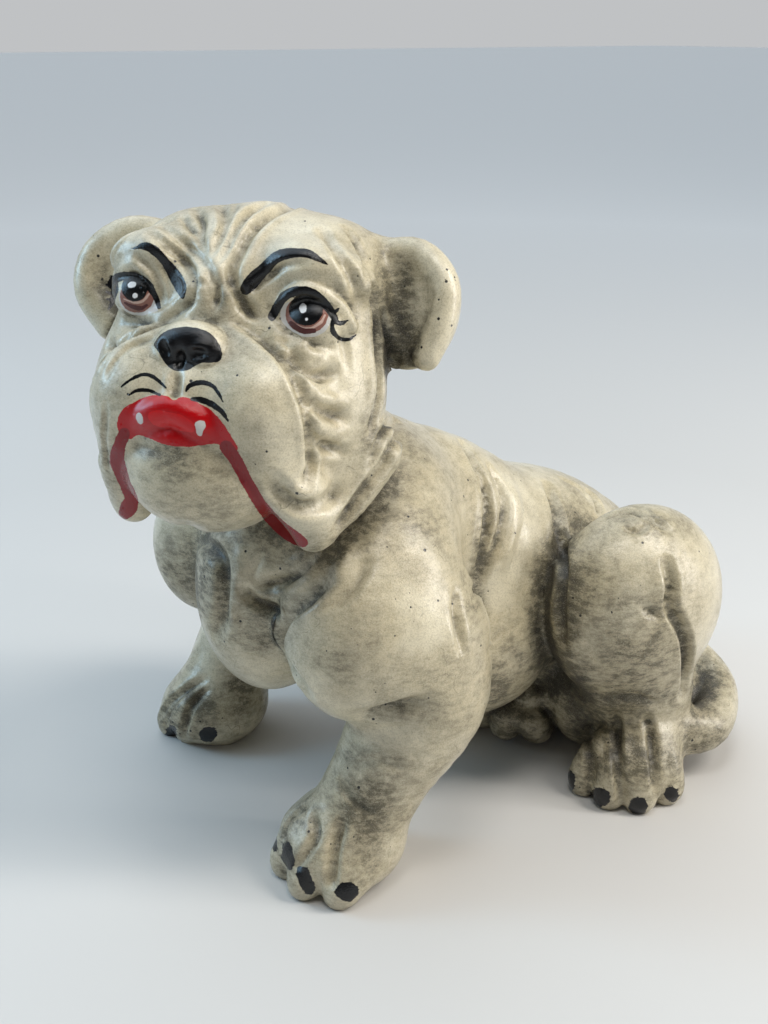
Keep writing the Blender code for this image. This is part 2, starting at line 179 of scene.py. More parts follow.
def view_axes():
    """The ways to the right, up and back as the camera sees them."""
    a, e = VIEW_AZIMUTH, VIEW_ELEVATION
    back = np.array((math.sin(a) * math.cos(e), -math.cos(a) * math.cos(e), math.sin(e)))
    right = np.array((math.cos(a), math.sin(a), 0.0))
    return right, np.cross(back, right), back


def view_rays(view_points):
    """The camera's place, and the ways from it through points of the view, each VIEW_FOCUS deep."""
    right, up, back = view_axes()
    v = np.array(view_points, float)
    across = right * (v[:, :1] - VIEW_WIDE / 2) + up * (VIEW_HIGH / 2 - v[:, 1:2])
    return np.array(VIEW_TARGET) + back * VIEW_DISTANCE, across - back * VIEW_FOCUS


class Field:
    """How far each spot lies outside the blended clay, on a grid in modules; inside it is negative."""

    def __init__(self, step):
        boxes = [bounds_of(form) for form in forms]
        self.step = step
        self.low = np.min([b[0] for b in boxes], axis=0) - FIELD_MARGIN
        high = np.max([b[1] for b in boxes], axis=0) + FIELD_MARGIN
        self.size = np.ceil((high - self.low) / step).astype(int) + 1
        self.values = np.full(self.size, OPEN_AIR)
        for form in forms:
            self.lay(form)

    def block(self, low, high):
        """The grid's block around a box: its slices, its spots and its shape."""
        first = np.clip(np.floor((low - self.low) / self.step).astype(int), 0, self.size - 1)
        last = np.clip(np.ceil((high - self.low) / self.step).astype(int) + 1, 1, self.size)
        slices = tuple(slice(a, b) for a, b in zip(first, last))
        spots = np.stack(np.meshgrid(*[np.arange(a, b) for a, b in zip(first, last)], indexing="ij"), -1)
        return slices, self.low + spots.reshape(-1, 3) * self.step, last - first

    def lay(self, form):
        low, high = bounds_of(form)
        margin = form["blend"] + 8
        part, spots, shape = self.block(low - margin, high + margin)
        distance = (ball_distance if form["kind"] == "ball" else limb_distance)(form, spots)
        self.values[part] = smooth_min(self.values[part], distance.reshape(shape), form["blend"])

    def score(self, path, m, cuts, rolls):
        """A tool mark along a path on the surface, noted in the depths of the cuts and of the rolls."""
        reach = 3 * m["width"] + self.step
        part, spots, shape = self.block(path.min(0) - reach, path.max(0) + reach)
        outward = even(self.slope(path), 6)
        outward /= np.maximum(np.linalg.norm(outward, axis=1), TINY)[:, None]
        nearest = np.full(len(spots), np.inf)
        aside = np.full(len(spots), np.inf)
        above = np.zeros(len(spots))
        place = np.zeros(len(spots))
        for i, (a, b) in enumerate(zip(path, path[1:])):
            along = b - a
            t = np.clip((spots - a) @ along / max(along @ along, TINY), 0, 1)
            gap = spots - a - t[:, None] * along
            distance = np.linalg.norm(gap, axis=1)
            closer = distance < nearest
            way = outward[i] + (outward[i + 1] - outward[i]) * t[closer, None]
            nearest[closer] = distance[closer]
            above[closer] = (gap[closer] * way).sum(1)
            aside[closer] = np.sqrt(np.maximum(distance[closer] ** 2 - above[closer] ** 2, 0))
            place[closer] = (i + t[closer]) / (len(path) - 1)
        fade = np.sqrt(np.clip(0.1 + 4 * np.minimum(place, 1 - place), 0, 1))
        fade *= np.clip(3 - np.abs(above) / m["width"], 0, 1)
        fade *= TOOL_PRESSURE * abs(m["depth"])
        ratio = aside / m["width"]
        depth = (fade * np.exp(-(ratio**2))).reshape(shape)
        rim = (fade * m["lip"] * np.exp(-2.5 * (ratio - 1.7) ** 2)).reshape(shape)
        if m["depth"] > 0:
            cuts[part] = np.maximum(cuts[part], depth)
            rolls[part] = np.maximum(rolls[part], rim)
        else:
            rolls[part] = np.maximum(rolls[part], depth)

    def at(self, points):
        spot = np.clip((points - self.low) / self.step, 0, self.size - 1 - TINY)
        whole = spot.astype(int)
        share = spot - whole
        found = np.zeros(len(points))
        for corner in np.ndindex(2, 2, 2):
            weight = np.prod(np.where(corner, share, 1 - share), axis=1)
            found += weight * self.values[tuple((whole + corner).T)]
        return found

    def slope(self, points):
        d = 0.5 * self.step
        return np.stack([self.at(points + d * e) - self.at(points - d * e) for e in np.eye(3)], 1) / (2 * d)

    def snapped(self, points, rounds=6):
        """Points moved onto the surface, along the slope."""
        p = np.array(points, float)
        for _ in range(rounds):
            slope = self.slope(p)
            p -= slope * (self.at(p) / np.maximum((slope**2).sum(1), 0.25))[:, None]
        return p

    def seen(self, view_points):
        """The surface spots behind points of the view."""
        station, ray = view_rays(view_points)
        ray /= np.linalg.norm(ray, axis=1)[:, None]
        reach = np.full(len(ray), VIEW_DISTANCE - 340.0)
        for _ in range(90):
            reach += np.clip(self.at(station + ray * reach[:, None]), -4, 12) * 0.8
        return station + ray * reach[:, None]


def lumps_mesh():
    """The forms as one bunch of overlapping closed shapes."""
    bm = bmesh.new()
    bmesh.ops.create_icosphere(bm, subdivisions=3, radius=1.0)
    round_points = np.array([v.co[:] for v in bm.verts])
    round_faces = np.array([[v.index for v in f.verts] for f in bm.faces])
    bm.free()
    points = []
    faces = []
    for form in forms:
        if form["kind"] == "ball":
            spots = [(form["centre"], form["axes"] * form["radii"])]
        else:
            spots = []
            for a, b, ra, rb in zip(form["places"], form["places"][1:], form["radii"], form["radii"][1:]):
                count = max(2, int(np.linalg.norm(b - a) / (0.3 * min(ra, rb))))
                for t in np.linspace(0, 1, count):
                    spots.append((a + (b - a) * t, np.eye(3) * (ra + (rb - ra) * t)))
        for place, shape in spots:
            faces.append(round_faces + len(points) * len(round_points))
            points.append(place + round_points @ shape.T)
    mesh = bpy.data.meshes.new("lumps")
    mesh.from_pydata(np.vstack(points), [], np.vstack(faces))
    return mesh


def applied(obj, kind, **settings):
    """The object's mesh with one modifier of this kind applied."""
    modifier = obj.modifiers.new(kind.lower(), kind)
    for name, value in settings.items():
        setattr(modifier, name, value)
    graph = bpy.context.evaluated_depsgraph_get()
    graph.update()
    mesh = bpy.data.meshes.new_from_object(obj.evaluated_get(graph))
    obj.modifiers.clear()
    old = obj.data
    obj.data = mesh
    bpy.data.meshes.remove(old)


def points_of(mesh):
    points = np.empty(len(mesh.vertices) * 3)
    mesh.vertices.foreach_get("co", points)
    return points.reshape(-1, 3)


def normals_of(mesh):
    normals = np.empty(len(mesh.vertices) * 3)
    mesh.vertex_normals.foreach_get("vector", normals)
    return normals.reshape(-1, 3)


def set_points(mesh, points):
    mesh.vertices.foreach_set("co", points.ravel())
    mesh.update()


def edge_ends(mesh):
    """The numbers of the points at the two ends of each edge."""
    ends = np.empty(len(mesh.edges) * 2, int)
    mesh.edges.foreach_get("vertices", ends)
    return ends.reshape(-1, 2).T


def relaxed(mesh, points, share):
    """Each point moved part of the way to the mean of its neighbours."""
    a, b = edge_ends(mesh)
    total = np.zeros_like(points)
    np.add.at(total, a, points[b])
    np.add.at(total, b, points[a])
    count = np.bincount(np.concatenate([a, b]), minlength=len(points))[:, None]
    return points + share * (total / np.maximum(count, 1) - points)


def settle(mesh, field):
    """The rough remeshed lumps drawn onto the blended surface."""
    points = points_of(mesh)
    for _ in range(SETTLE_PASSES):
        points = relaxed(mesh, points, 0.5)
        points = field.snapped(points, rounds=2)
    set_points(mesh, points)


def even(rows, rounds):
    """Rows of numbers smoothed along their line, with the ends kept."""
    rows = rows.copy()
    for _ in range(rounds):
        rows[1:-1] = (rows[:-2] + 2 * rows[1:-1] + rows[2:]) / 4
    return rows


def carve(field):
    """The tool marks, worked into the blended clay, with the twins on the head's other side."""
    cuts = np.zeros_like(field.values)
    rolls = np.zeros_like(field.values)
    for m in marks:
        path = field.seen(curve_through(m["points"], 6))
        path = field.snapped(even(path[field.at(path) < field.step], 3))
        field.score(path, m, cuts, rolls)
        if m["twin"]:
            inward = HEAD.inverted()
            across = [HEAD @ Vector((-p[0], p[1], p[2])) for p in (inward @ Vector(q) for q in path)]
            field.score(even(field.snapped(across), 3), m, cuts, rolls)
    field.values += cuts - rolls


def model_body():
    """Chest, ribs, belly and rump, and the neck."""
    limb([(0, -70, 216, 80), (0, 0, 207, 80), (4, 61, 164, 86), (0, 122, 138, 90), (0, 156, 122, 85)],
         blend=20)
    ball((0, -100, 204), (84, 60, 84), blend=20)
    ball((0, -126, 180), (60, 50, 76), blend=18)
    ball((16, 32, 120), (92, 82, 74), blend=20)
    ball((-12, 96, 40), (52, 60, 50), blend=18)
    ball((82, 140, 50), (36, 42, 48), blend=14)
    ball((0, 160, 80), (96, 70, 84), blend=20)
    limb([(0, -44, 226, 74), (5, -86, 290, 57), (8, -116, 335, 68)], blend=22)


def model_front_leg(side, chest, foot, ahead, toes):
    """A foreleg: how far forward the chest swells over it, and how far out and forward its paw stands."""
    limb([(side * 50, -52, 248, 50), (side * 80, -74, 222, 57), (side * 98, -84, 194, 56)], blend=28)
    ball((side * 104, -chest, 184), (46, 46, 60), blend=22)
    limb([(side * 106, -66, 170, 57), (side * 114, -64, 128, 48), (side * (foot + 4), -86 - ahead, 80, 37),
          (side * (foot + 1), -108 - ahead, 42, 35)], blend=18)
    ball((side * (foot - 3), -120 - ahead, 23), (46, 46, 32), blend=14)
    for x, y in toes:
        limb([(side * (foot + x * 0.5), -112 - ahead, 42, 14),
              (side * (foot + x * 0.9), y + 20 - ahead, 26, 16),
              (side * (foot + x), y + 4 - ahead, 14, 15), (side * (foot + x), y - ahead, 8, 12)], blend=4)


def model_left_hind_leg():
    ball((122, 136, 152), (56, 78, 80), blend=10)
    limb([(116, 146, 84, 50), (126, 154, 56, 36), (142, 136, 40, 30)], blend=14)
    ball((148, 128, 24), (36, 38, 27), (0, 0, 35), blend=12)
    for x, y in [(132, 88), (156, 92), (173, 108), (176, 134)]:
        limb([((x + 138) / 2, (y + 150) / 2, 44, 13), (x * 0.8 + 28, y * 0.8 + 28, 32, 14), (x, y, 15, 14),
              (x, y - 1, 8, 12)], blend=4)


def model_right_hind_leg():
    """The leg that the dog leans on: the thigh lies low and the paw comes out under the belly."""
    ball((-104, 132, 112), (56, 84, 76), blend=12)
    limb([(-120, 150, 40, 40), (-112, 96, 38, 38), (-88, 62, 32, 32), (-40, 60, 26, 26)], blend=18)
    ball((22, 106, 24), (34, 32, 26), blend=10)
    for x, y, z, r in [(33, 90, 36, 15), (56, 116, 36, 15), (41, 78, 18, 14), (58, 98, 18, 15)]:
        ball((x, y, z), (r, r, r), blend=3)


def model_tail():
    limb([(20, 226, 64, 24), (74, 246, 56, 20), (118, 243, 48, 17), (146, 220, 42, 17), (158, 190, 37, 19),
          (146, 160, 38, 18), (132, 140, 42, 14)], blend=10)
    ball((106, 186, 20), (38, 40, 28), blend=10)
    ball((98, 204, 42), (34, 30, 28), blend=10)


def model_head():
    """Skull, cheeks, muzzle with its hanging lips, chin, nose, brows and eyes."""
    ball((0, 4, 40), (62, 82, 65), frame=HEAD, blend=16)
    both_balls((44, 0, 42), (50, 67, 56), frame=HEAD, blend=16)
    both_balls((54, -22, -22), (45, 50, 72), frame=HEAD, blend=16)
    ball((-60, -20, -40), (44, 48, 60), frame=HEAD, blend=16)
    ball((0, -56, -30), (54, 50, 40), frame=HEAD, blend=14)
    both_balls((37, -62, -33), (45, 46, 45), frame=HEAD, blend=8)
    for side, narrow in [(1, 0), (-1, 9)]:
        limb([(side * 44, -76, -54, 24), (side * (60 - narrow / 2), -62, -76, 21),
              (side * (68 - narrow), -50, -94, 17), (side * (70 - narrow), -44, -106, 13)],
             frame=HEAD, blend=8)
        limb([(side * (74 - narrow), -42, -98, 14), (side * (82 - narrow), -28, -80, 18),
              (side * 90, -12, -52, 22)], frame=HEAD, blend=8)
    ball((0, -62, -74), (56, 46, 40), frame=HEAD, blend=3)
    ball((-2, -60, 20), (22, 20, 28), frame=HEAD, blend=14)
    both_balls((24, -56, -4), (34, 32, 30), frame=HEAD, blend=14)
    ball((-5, -87, 5), (23, 14, 14), frame=HEAD, blend=3)
    ball((7, -90, 0), (12, 10, 12), frame=HEAD, blend=3)
    ball((-17, -90, 0), (12, 10, 12), frame=HEAD, blend=3)
    both_balls((60, -50, 58), (34, 22, 18), (0, 10, 20), frame=HEAD, blend=8)
    ball((61, -55, 26), (21, 17, 17), frame=HEAD, blend=2)
    ball((-61, -55, 32), (21, 17, 17), frame=HEAD, blend=2)
    limb([(39, -62, 24, 4), (46, -68, 38, 5), (60, -69, 45, 5), (76, -60, 38, 5), (84, -50, 26, 4)],
         frame=HEAD, blend=3)
    limb([(-39, -62, 30, 4), (-46, -68, 44, 5), (-60, -69, 51, 5), (-76, -60, 44, 5), (-84, -50, 32, 4)],
         frame=HEAD, blend=3)
    limb([(-40, -88, -54, 8), (-22, -100, -42, 11), (-5, -103, -37, 10), (12, -100, -42, 11),
          (30, -90, -56, 8)], frame=HEAD, blend=3)
    limb([(-26, -94, -56, 7), (-4, -100, -54, 9), (20, -94, -58, 7)], frame=HEAD, blend=3)


def model_ears():
    left = [(78, 6, 75, 13), (106, 0, 79, 9), (126, -5, 62, 9), (129, -8, 38, 9), (121, -8, 13, 9)]
    limb(left, frame=HEAD, blend=10)
    ball((102, 3, 43), (34, 10, 40), frame=HEAD, blend=9)
    right = [(-78, 6, 74, 14), (-108, 2, 77, 12), (-131, -3, 60, 12), (-132, -7, 34, 12),
             (-112, -8, 12, 12)]
    limb(right, frame=HEAD, blend=10)
    ball((-104, 2, 44), (36, 12, 39), frame=HEAD, blend=9)


def mark_face():
    mark([(220, 199), (225, 216), (222, 231), (211, 256)], 4.5, 4)
    mark([(196, 208), (202, 222), (200, 240), (207, 258)], 4, 3.5)
    mark([(162, 226), (182, 241), (200, 258), (210, 276), (206, 296)], 4.5, 4)
    mark([(152, 232), (170, 246), (186, 263), (195, 282), (190, 300), (176, 312)], 5, 4.5)
    mark([(267, 202), (246, 214), (231, 236), (221, 262)], 4.5, 4.5)
    mark([(296, 206), (270, 214), (250, 230), (239, 250), (231, 268), (232, 285), (242, 301), (256, 320)],
         5.5, 5.5)
    mark([(217, 276), (216, 292), (214, 306)], 5, 4)
    mark([(202, 264), (203, 282), (197, 302)], 8, -4)
    mark([(228, 284), (233, 304)], 8, -3)
    mark([(256, 322), (272, 337), (290, 347)], 5, 3)
    mark([(186, 303), (170, 314), (150, 321), (124, 323)], 5, 3)
    mark([(288, 350), (301, 366), (317, 376), (334, 370)], 5.5, 6, twin=True)
    mark([(292, 340), (308, 356), (328, 358)], 8, -3)
    mark([(305, 392), (320, 410), (342, 416)], 6, 6, twin=True)
    mark([(309, 430), (322, 446), (343, 451)], 5, 5, twin=True)
    mark([(322, 231), (340, 256), (352, 276), (360, 300)], 5, 3.5, twin=True)
    mark([(240, 322), (256, 332), (277, 350), (292, 370), (302, 393), (310, 420), (312, 450), (311, 474),
          (300, 486)], 5.5, 6, twin=True)
    mark([(273, 481), (282, 496), (300, 508), (321, 505), (336, 492)], 7, 6)
    mark([(367, 262), (377, 305), (378, 355), (380, 393), (370, 430)], 5, 4.5)
    mark([(177, 372), (174, 396)], 4.5, 3.5)


def mark_body():
    mark([(190, 527), (207, 543), (220, 560), (223, 587), (222, 613), (215, 634)], 9, 6, lip=0.1)
    mark([(240, 556), (236, 590), (232, 622)], 8, -4)
    mark([(326, 580), (307, 597), (290, 611), (283, 634), (290, 664), (305, 690)], 9, 7)
    mark([(240, 587), (257, 603), (280, 612)], 6, 5)
    mark([(250, 587), (273, 583), (297, 573), (313, 558)], 6, 4)
    mark([(350, 548), (337, 578)], 7, -4)
    mark([(462, 442), (477, 468), (486, 490), (488, 514), (485, 542), (479, 572), (475, 592)], 5, 7)
    mark([(490, 467), (502, 490), (505, 512), (498, 540), (488, 562), (480, 584)], 5, 6)
    mark([(513, 487), (516, 512), (507, 548), (490, 572)], 8, -3)
    mark([(548, 486), (556, 508), (560, 532), (564, 564), (560, 604), (562, 640)], 7, 7)
    mark([(600, 520), (628, 511), (652, 519), (668, 530)], 5, 5)
    mark([(587, 490), (597, 502), (600, 516)], 5, 4)
    mark([(667, 563), (672, 586), (670, 607), (680, 625), (686, 642), (686, 676), (682, 694)], 6, 8)
    mark([(644, 608), (658, 616), (670, 608)], 5, 4, lip=0.1)
    mark([(457, 590), (457, 614), (462, 650)], 5, 4)
    mark([(363, 716), (393, 710), (425, 702)], 9, 5)
    mark([(397, 420), (388, 458), (370, 482), (353, 507), (337, 528)], 5, 5)


def mark_toes():
    mark([(313, 815), (316, 836), (298, 866)], 4.5, 5)
    mark([(342, 822), (334, 850), (331, 884)], 5, 5)
    mark([(306, 806), (288, 820), (282, 842)], 4.5, 5)
    mark([(616, 712), (617, 745), (620, 800)], 5, 6)
    mark([(648, 718), (653, 750), (656, 800)], 5, 5)
    mark([(590, 728), (591, 776)], 5, 4)
    mark([(205, 679), (184, 690), (170, 701), (160, 716)], 4.5, 4.5)
    mark([(206, 690), (190, 708), (183, 736)], 4.5, 4)
    mark([(190, 688), (174, 702), (165, 722)], 4.5, 4)


def model_forms():
    model_body()
    model_front_leg(1, 112, 108, 6, [(-44, -134), (-18, -157), (9, -158), (31, -142)])
    model_front_leg(-1, 122, 122, 0, [(-28, -122), (-9, -148), (10, -156), (31, -141)])
    model_left_hind_leg()
    model_right_hind_leg()
    model_tail()
    model_head()
    model_ears()
    mark_face()
    mark_body()
    mark_toes()


def mark_fine():
    """The smaller wrinkles and tool marks that only the finished surface has."""
    mark([(182, 217), (195, 233), (209, 254)], 3, 3)
    mark([(163, 345), (166, 353)], 3.5, 4, lip=0.5)
    mark([(193, 353), (204, 354)], 3.5, 4, lip=0.5)
    mark([(181, 352), (179, 368)], 3, 2.5)
    mark([(238, 198), (232, 214), (226, 226)], 3, 2.5)
    mark([(246, 297), (256, 286), (270, 275), (284, 265), (306, 262)], 3.5, 2.5)
    mark([(137, 258), (150, 268), (158, 284), (161, 300)], 3.5, 2.5)
    mark([(346, 228), (362, 253), (368, 282)], 4, 3, twin=True)
    mark([(380, 298), (386, 330), (391, 367), (392, 393), (383, 430), (369, 468)], 3.5, 4)
    mark([(152, 340), (132, 345), (115, 360), (107, 375)], 3.5, 2.5)
    mark([(340, 330), (346, 352), (346, 372)], 3.5, 1.5)
    mark([(106, 404), (104, 440), (108, 470)], 3, 2)
    mark([(275, 478), (290, 487), (298, 490)], 3, 3)
    mark([(322, 395), (336, 404), (350, 400)], 6, -2.5)
    mark([(318, 428), (334, 434), (348, 428)], 5, -2)
    mark([(240, 560), (232, 590), (240, 616)], 4, 2)
    mark([(262, 556), (252, 575), (262, 600)], 3.5, 2)
    mark([(367, 560), (353, 587), (330, 607)], 6, 3)
    mark([(487, 652), (495, 640), (503, 630)], 2.5, 3)
    mark([(627, 528), (636, 532), (645, 526)], 3.5, 4)
    mark([(560, 478), (580, 488), (590, 500)], 4, 2)
    mark([(620, 500), (640, 508), (662, 520)], 4, 2)
    mark([(588, 690), (606, 700), (630, 696), (660, 704)], 4, 3)
    mark([(373, 813), (353, 800), (340, 780)], 4, 3)
    mark([(400, 770), (380, 760), (356, 764)], 4, 1.5)
    mark([(524, 520), (516, 556), (502, 590)], 4, 1.5)


def model_pads():
    """The plump toes of the paw that comes out under the belly, each at the nearest whole module."""
    for x, y, distance in BELLY_TOES:
        station, rays = view_rays([(x, y)])
        ball(np.round(station + rays[0] * distance / VIEW_FOCUS), (15, 15, 14), blend=2)


def sharpen_tools():
    """Narrower tools than those that roughed out the solid, for crisp folds."""
    for m in marks:
        m["width"] *= FINE_TOOLS


# Paint shapes, laid out on the same view of 768 by 1024 points as the tool marks
def oval(x, y, half_wide, half_high, lean=0):
    return {"kind": "oval", "place": (x, y), "half": (half_wide, half_high), "lean": math.radians(lean)}


def brushed(*rows):
    """A brush stroke through rows of (x, y, half its width)."""
    return {"kind": "brushed", "rows": np.array(rows, float)}


def filled(*corners):
    """A shape filled in with the brush, with rounded corners."""
    return {"kind": "filled", "rows": np.array(corners, float)}


EYE_WHITES = [
    filled((286, 303), (281, 311), (281, 320), (287, 327), (295, 333), (304, 336.5), (315, 336.5),
           (324, 332), (330, 324), (331, 314), (324, 304), (306, 298)),
    filled((119, 294), (121, 306), (129, 313), (141, 315.5), (151, 313), (158, 310), (155, 302),
           (151, 292), (146, 284), (132, 280)),
]
FANGS = [
    oval(139.5, 418.5, 3.4, 5.8, -15),
    filled((195, 424), (198, 421), (204, 421), (206, 426), (203, 431), (201, 436), (197, 434),
           (196, 429)),
]
IRISES = [
    oval(307, 314, 21.5, 19.6),
    oval(137, 296.5, 17.2, 16.4),
]
IRIS_LIGHTS = [
    brushed((296, 325, 0.8), (304, 328, 1.2), (312, 328, 1.3), (321, 322, 1.6), (325, 315, 1.2)),
    brushed((124, 299, 0.8), (134, 302.5, 1.2), (143, 301, 1.2), (149, 294, 1.0)),
]
IRIS_SHADES = [
    brushed((291, 323, 2.2), (297, 328, 2.8), (305, 331, 2.8), (314, 330.5, 2.4)),
    brushed((125, 303, 1.2), (133, 307, 2.4), (141, 308, 2.2), (147, 305, 1.4)),
]
EYE_BLACKS = [
    oval(306, 309.5, 17.2, 16.2),
    oval(134.5, 287.5, 13.0, 14.0),
    brushed((272, 317, 4.2), (276, 309, 4.6), (283, 298, 4.8), (291, 292.5, 5.2), (300, 291, 5.0),
            (311, 293, 5.0), (321, 300, 5.0), (329, 309, 4.4), (334, 317, 3.4), (337, 322, 2.2)),
    brushed((331, 313, 2.6), (336, 311, 1.9), (339, 308, 0.6)),
    brushed((335, 323, 1.6), (341, 323, 2.6), (348, 320.5, 0.7)),
    brushed((332.5, 321, 2.2), (332.5, 330, 2.6), (337, 336.5, 2.4), (343, 339.5, 2.0), (350, 339, 1.6),
            (356, 334.5, 0.6)),
    brushed((111, 283, 3.6), (116, 278.5, 4.4), (124, 276, 4.4), (132, 276, 4.0), (140, 279, 4.2),
            (148, 284.5, 4.0), (153, 292, 3.4), (157, 300, 2.8), (159, 307, 2.2)),
    brushed((114, 282, 3.5), (115, 290, 3.4), (113, 298, 3.0), (111.5, 304, 2.2), (108.5, 309, 1.0)),
    brushed((113, 279, 2.2), (109, 275, 0.9)),
    brushed((112, 287, 2.0), (106.5, 285, 1.1)),
    brushed((112, 294, 1.8), (106, 291.5, 1.0)),
    brushed((112, 299, 1.8), (106, 299, 0.9)),
]
# Painted highlights: white glints in the eyes.
GLINT_HIGHLIGHTS = [
    oval(303, 308, 3.7, 5.0, 5),
    oval(306.5, 319.5, 1.7, 1.6),
    oval(132, 284.5, 4.4, 2.9, -20),
    oval(135, 295.5, 2.4, 2.6),
]
BROWS = [
    filled((240, 288), (244, 280), (252, 271), (263, 262), (274, 252), (285, 248.5), (298, 248),
           (309, 249.5), (318, 255), (328, 264.5), (318, 261.5), (308, 258.5), (298, 257.5),
           (287, 259.5), (279, 262.5), (271, 271), (262, 281), (254, 290), (247, 295), (242, 293)),
    filled((129, 249), (136, 246.5), (141, 243), (149, 242.5), (157, 246.5), (166, 256), (175, 266),
           (182, 275), (186, 284), (186, 292), (183, 299), (178, 294), (172, 284), (167, 274),
           (163, 266), (157, 259), (150, 253), (143, 249.5), (136, 249)),
]
NOSE = [
    filled((154, 345), (159, 336), (168, 330), (180, 327), (192, 327), (204, 330), (214, 337),
           (220, 346), (222, 355), (219, 361), (211, 363), (202, 363), (194, 367), (187, 370.5),
           (178, 371), (171, 369), (165, 363), (160, 355)),
]
WHISKERS = [
    brushed((186, 391, 1.2), (190, 385.5, 2.4), (200, 382.5, 2.6), (210, 384.5, 2.3), (217, 391, 1.8),
            (223, 402, 0.7)),
    brushed((192, 399, 1.8), (202, 400, 3.0), (213, 405, 3.2), (222, 412, 2.6), (228, 421, 1.0)),
    brushed((121, 387, 0.8), (131, 379.5, 1.6), (144, 374.5, 1.9), (155, 378, 1.9), (166, 388, 1.0)),
    brushed((129, 395, 1.0), (138, 390.5, 1.8), (149, 390.5, 1.8), (160, 395, 1.2)),
]
NAILS = [
    oval(274.5, 843, 2.8, 10.0),
    oval(288, 856, 6.3, 14.0, -10),
    oval(305.5, 880.5, 7.5, 15.5, -22),
    oval(347, 892, 12.0, 9.5),
    oval(152, 715, 2.5, 8.0),
    oval(158, 726, 3.5, 8.0),
    oval(171, 734, 6.0, 9.5, 8),
    oval(208.5, 734.5, 8.8, 8.2),
    oval(569.5, 781, 5.5, 10.0),
    oval(600, 797, 10.5, 10.0),
    oval(638, 806, 9.5, 9.0),
    oval(671.5, 794, 7.5, 8.0),
]
LIPS = [
    filled((118, 430), (117, 422), (120, 413), (127, 406), (137, 401), (148, 396), (160, 395),
           (168, 396.5), (174, 400.5), (181, 397), (190, 398.5), (200, 404), (211, 410), (221, 421),
           (230, 434), (238, 449), (229, 451), (217, 444), (203, 445), (190, 447), (174, 446),
           (160, 443), (148, 438), (138, 435), (131, 439), (124, 436)),
]
LIP_LIGHTS = [
    filled((149, 413), (158, 410), (168, 412), (178, 414), (188, 419), (194, 425), (193, 432),
           (182, 431), (168, 429), (156, 426), (149, 420)),
]
DRIPS = [
    brushed((226, 447, 6.5), (235, 459, 6.5), (246, 480, 6.0), (254, 494, 5.8), (259, 502, 5.8),
            (263, 508, 6.0), (267, 513, 6.2), (272, 519, 6.4), (285, 531, 6.6), (297, 539, 6.6),
            (303, 542.5, 5.0)),
    brushed((124, 434, 6.0), (119, 447, 6.5), (117, 460, 7.4), (121, 473, 6.6), (126, 486, 5.8),
            (131, 498, 6.6), (129, 507, 8.6), (125, 513, 6.4)),
]

# Where the smoky wash and painted shade lie thick: an oval's middle, half its width and height, its lean,
# and how thick
SMUDGES_AND_SHADE = [
    (262, 612, 46, 26, -12, 0.62),
    (262, 640, 34, 16, 0, 0.75),
    (222, 590, 13, 44, 0, 0.75),
    (262, 545, 72, 17, 6, 0.62),
    (315, 600, 30, 12, -40, 0.55),
    (400, 712, 46, 11, 0, 0.50),
    (345, 530, 16, 34, 30, 0.50),
    (396, 470, 24, 42, 20, 0.45),
    (412, 524, 30, 20, 0, 0.40),
    (340, 662, 20, 12, 0, 0.45),
    (368, 806, 30, 44, 24, 0.60),
    (372, 757, 44, 11, 4, 0.50),
    (300, 812, 18, 24, 0, 0.50),
    (286, 850, 10, 30, 0, 0.55),
    (566, 606, 19, 88, 3, 1.25),
    (580, 690, 18, 34, 0, 1.35),
    (525, 746, 50, 10, 0, 1.20),
    (400, 316, 17, 46, 0, 1.40),
    (205, 570, 36, 50, 0, 0.95),
    (650, 522, 50, 20, 0, 0.40),
    (112, 400, 18, 40, 0, 0.40),
    (580, 720, 16, 26, 0, 1.00),
    (626, 700, 58, 14, -6, 0.80),
    (706, 690, 18, 30, 20, 1.10),
    (510, 735, 36, 18, 0, 0.70),
    (497, 690, 12, 30, 0, 0.70),
    (480, 560, 10, 60, 6, 0.60),
    (530, 660, 34, 12, 30, 0.35),
    (592, 600, 16, 50, 0, 0.55),
    (632, 632, 54, 66, 0, 0.66),
    (385, 318, 13, 56, 0, 1.20),
    (400, 268, 12, 16, 0, 0.45),
    (170, 455, 40, 12, 14, 0.75),
    (190, 470, 46, 22, 6, 0.35),
    (112, 460, 12, 40, 0, 0.40),
    (232, 330, 30, 14, 50, 0.35),
    (216, 300, 20, 26, 0, 0.40),
    (262, 440, 34, 26, 0, 0.20),
    (372, 420, 12, 60, 8, 0.60),
    (200, 700, 34, 14, 0, 0.60),
    (176, 716, 26, 12, 0, 0.55),
    (240, 690, 18, 30, 0, 0.60),
    (176, 560, 22, 40, 0, 0.62),
    (100, 270, 14, 40, 0, 0.35),
    (702, 736, 26, 20, 0, 0.40),
    (628, 758, 50, 30, 0, 0.72),
    (612, 752, 5, 36, 0, 1.10),
    (650, 752, 5, 36, 0, 1.10),
    (588, 762, 5, 26, 0, 1.00),
    (397, 596, 3.6, 3.2, 0, 1.30),
]

# Where the casting has crowds of pinholes, said the same way
PITTED = [
    (436, 288, 26, 44, 0, 0.70),
    (410, 345, 18, 16, 0, 0.50),
    (322, 342, 26, 8, 0, 0.45),
    (416, 604, 18, 20, 0, 0.70),
    (318, 842, 30, 30, 0, 0.45),
    (702, 732, 30, 16, 0, 0.55),
    (650, 768, 30, 26, 0, 0.40),
    (300, 505, 20, 16, 0, 0.45),
    (590, 755, 20, 30, 0, 0.35),
    (262, 546, 22, 8, 0, 0.60),
    (100, 262, 20, 30, 0, 0.40),
    (186, 720, 26, 14, 0, 0.40),
]

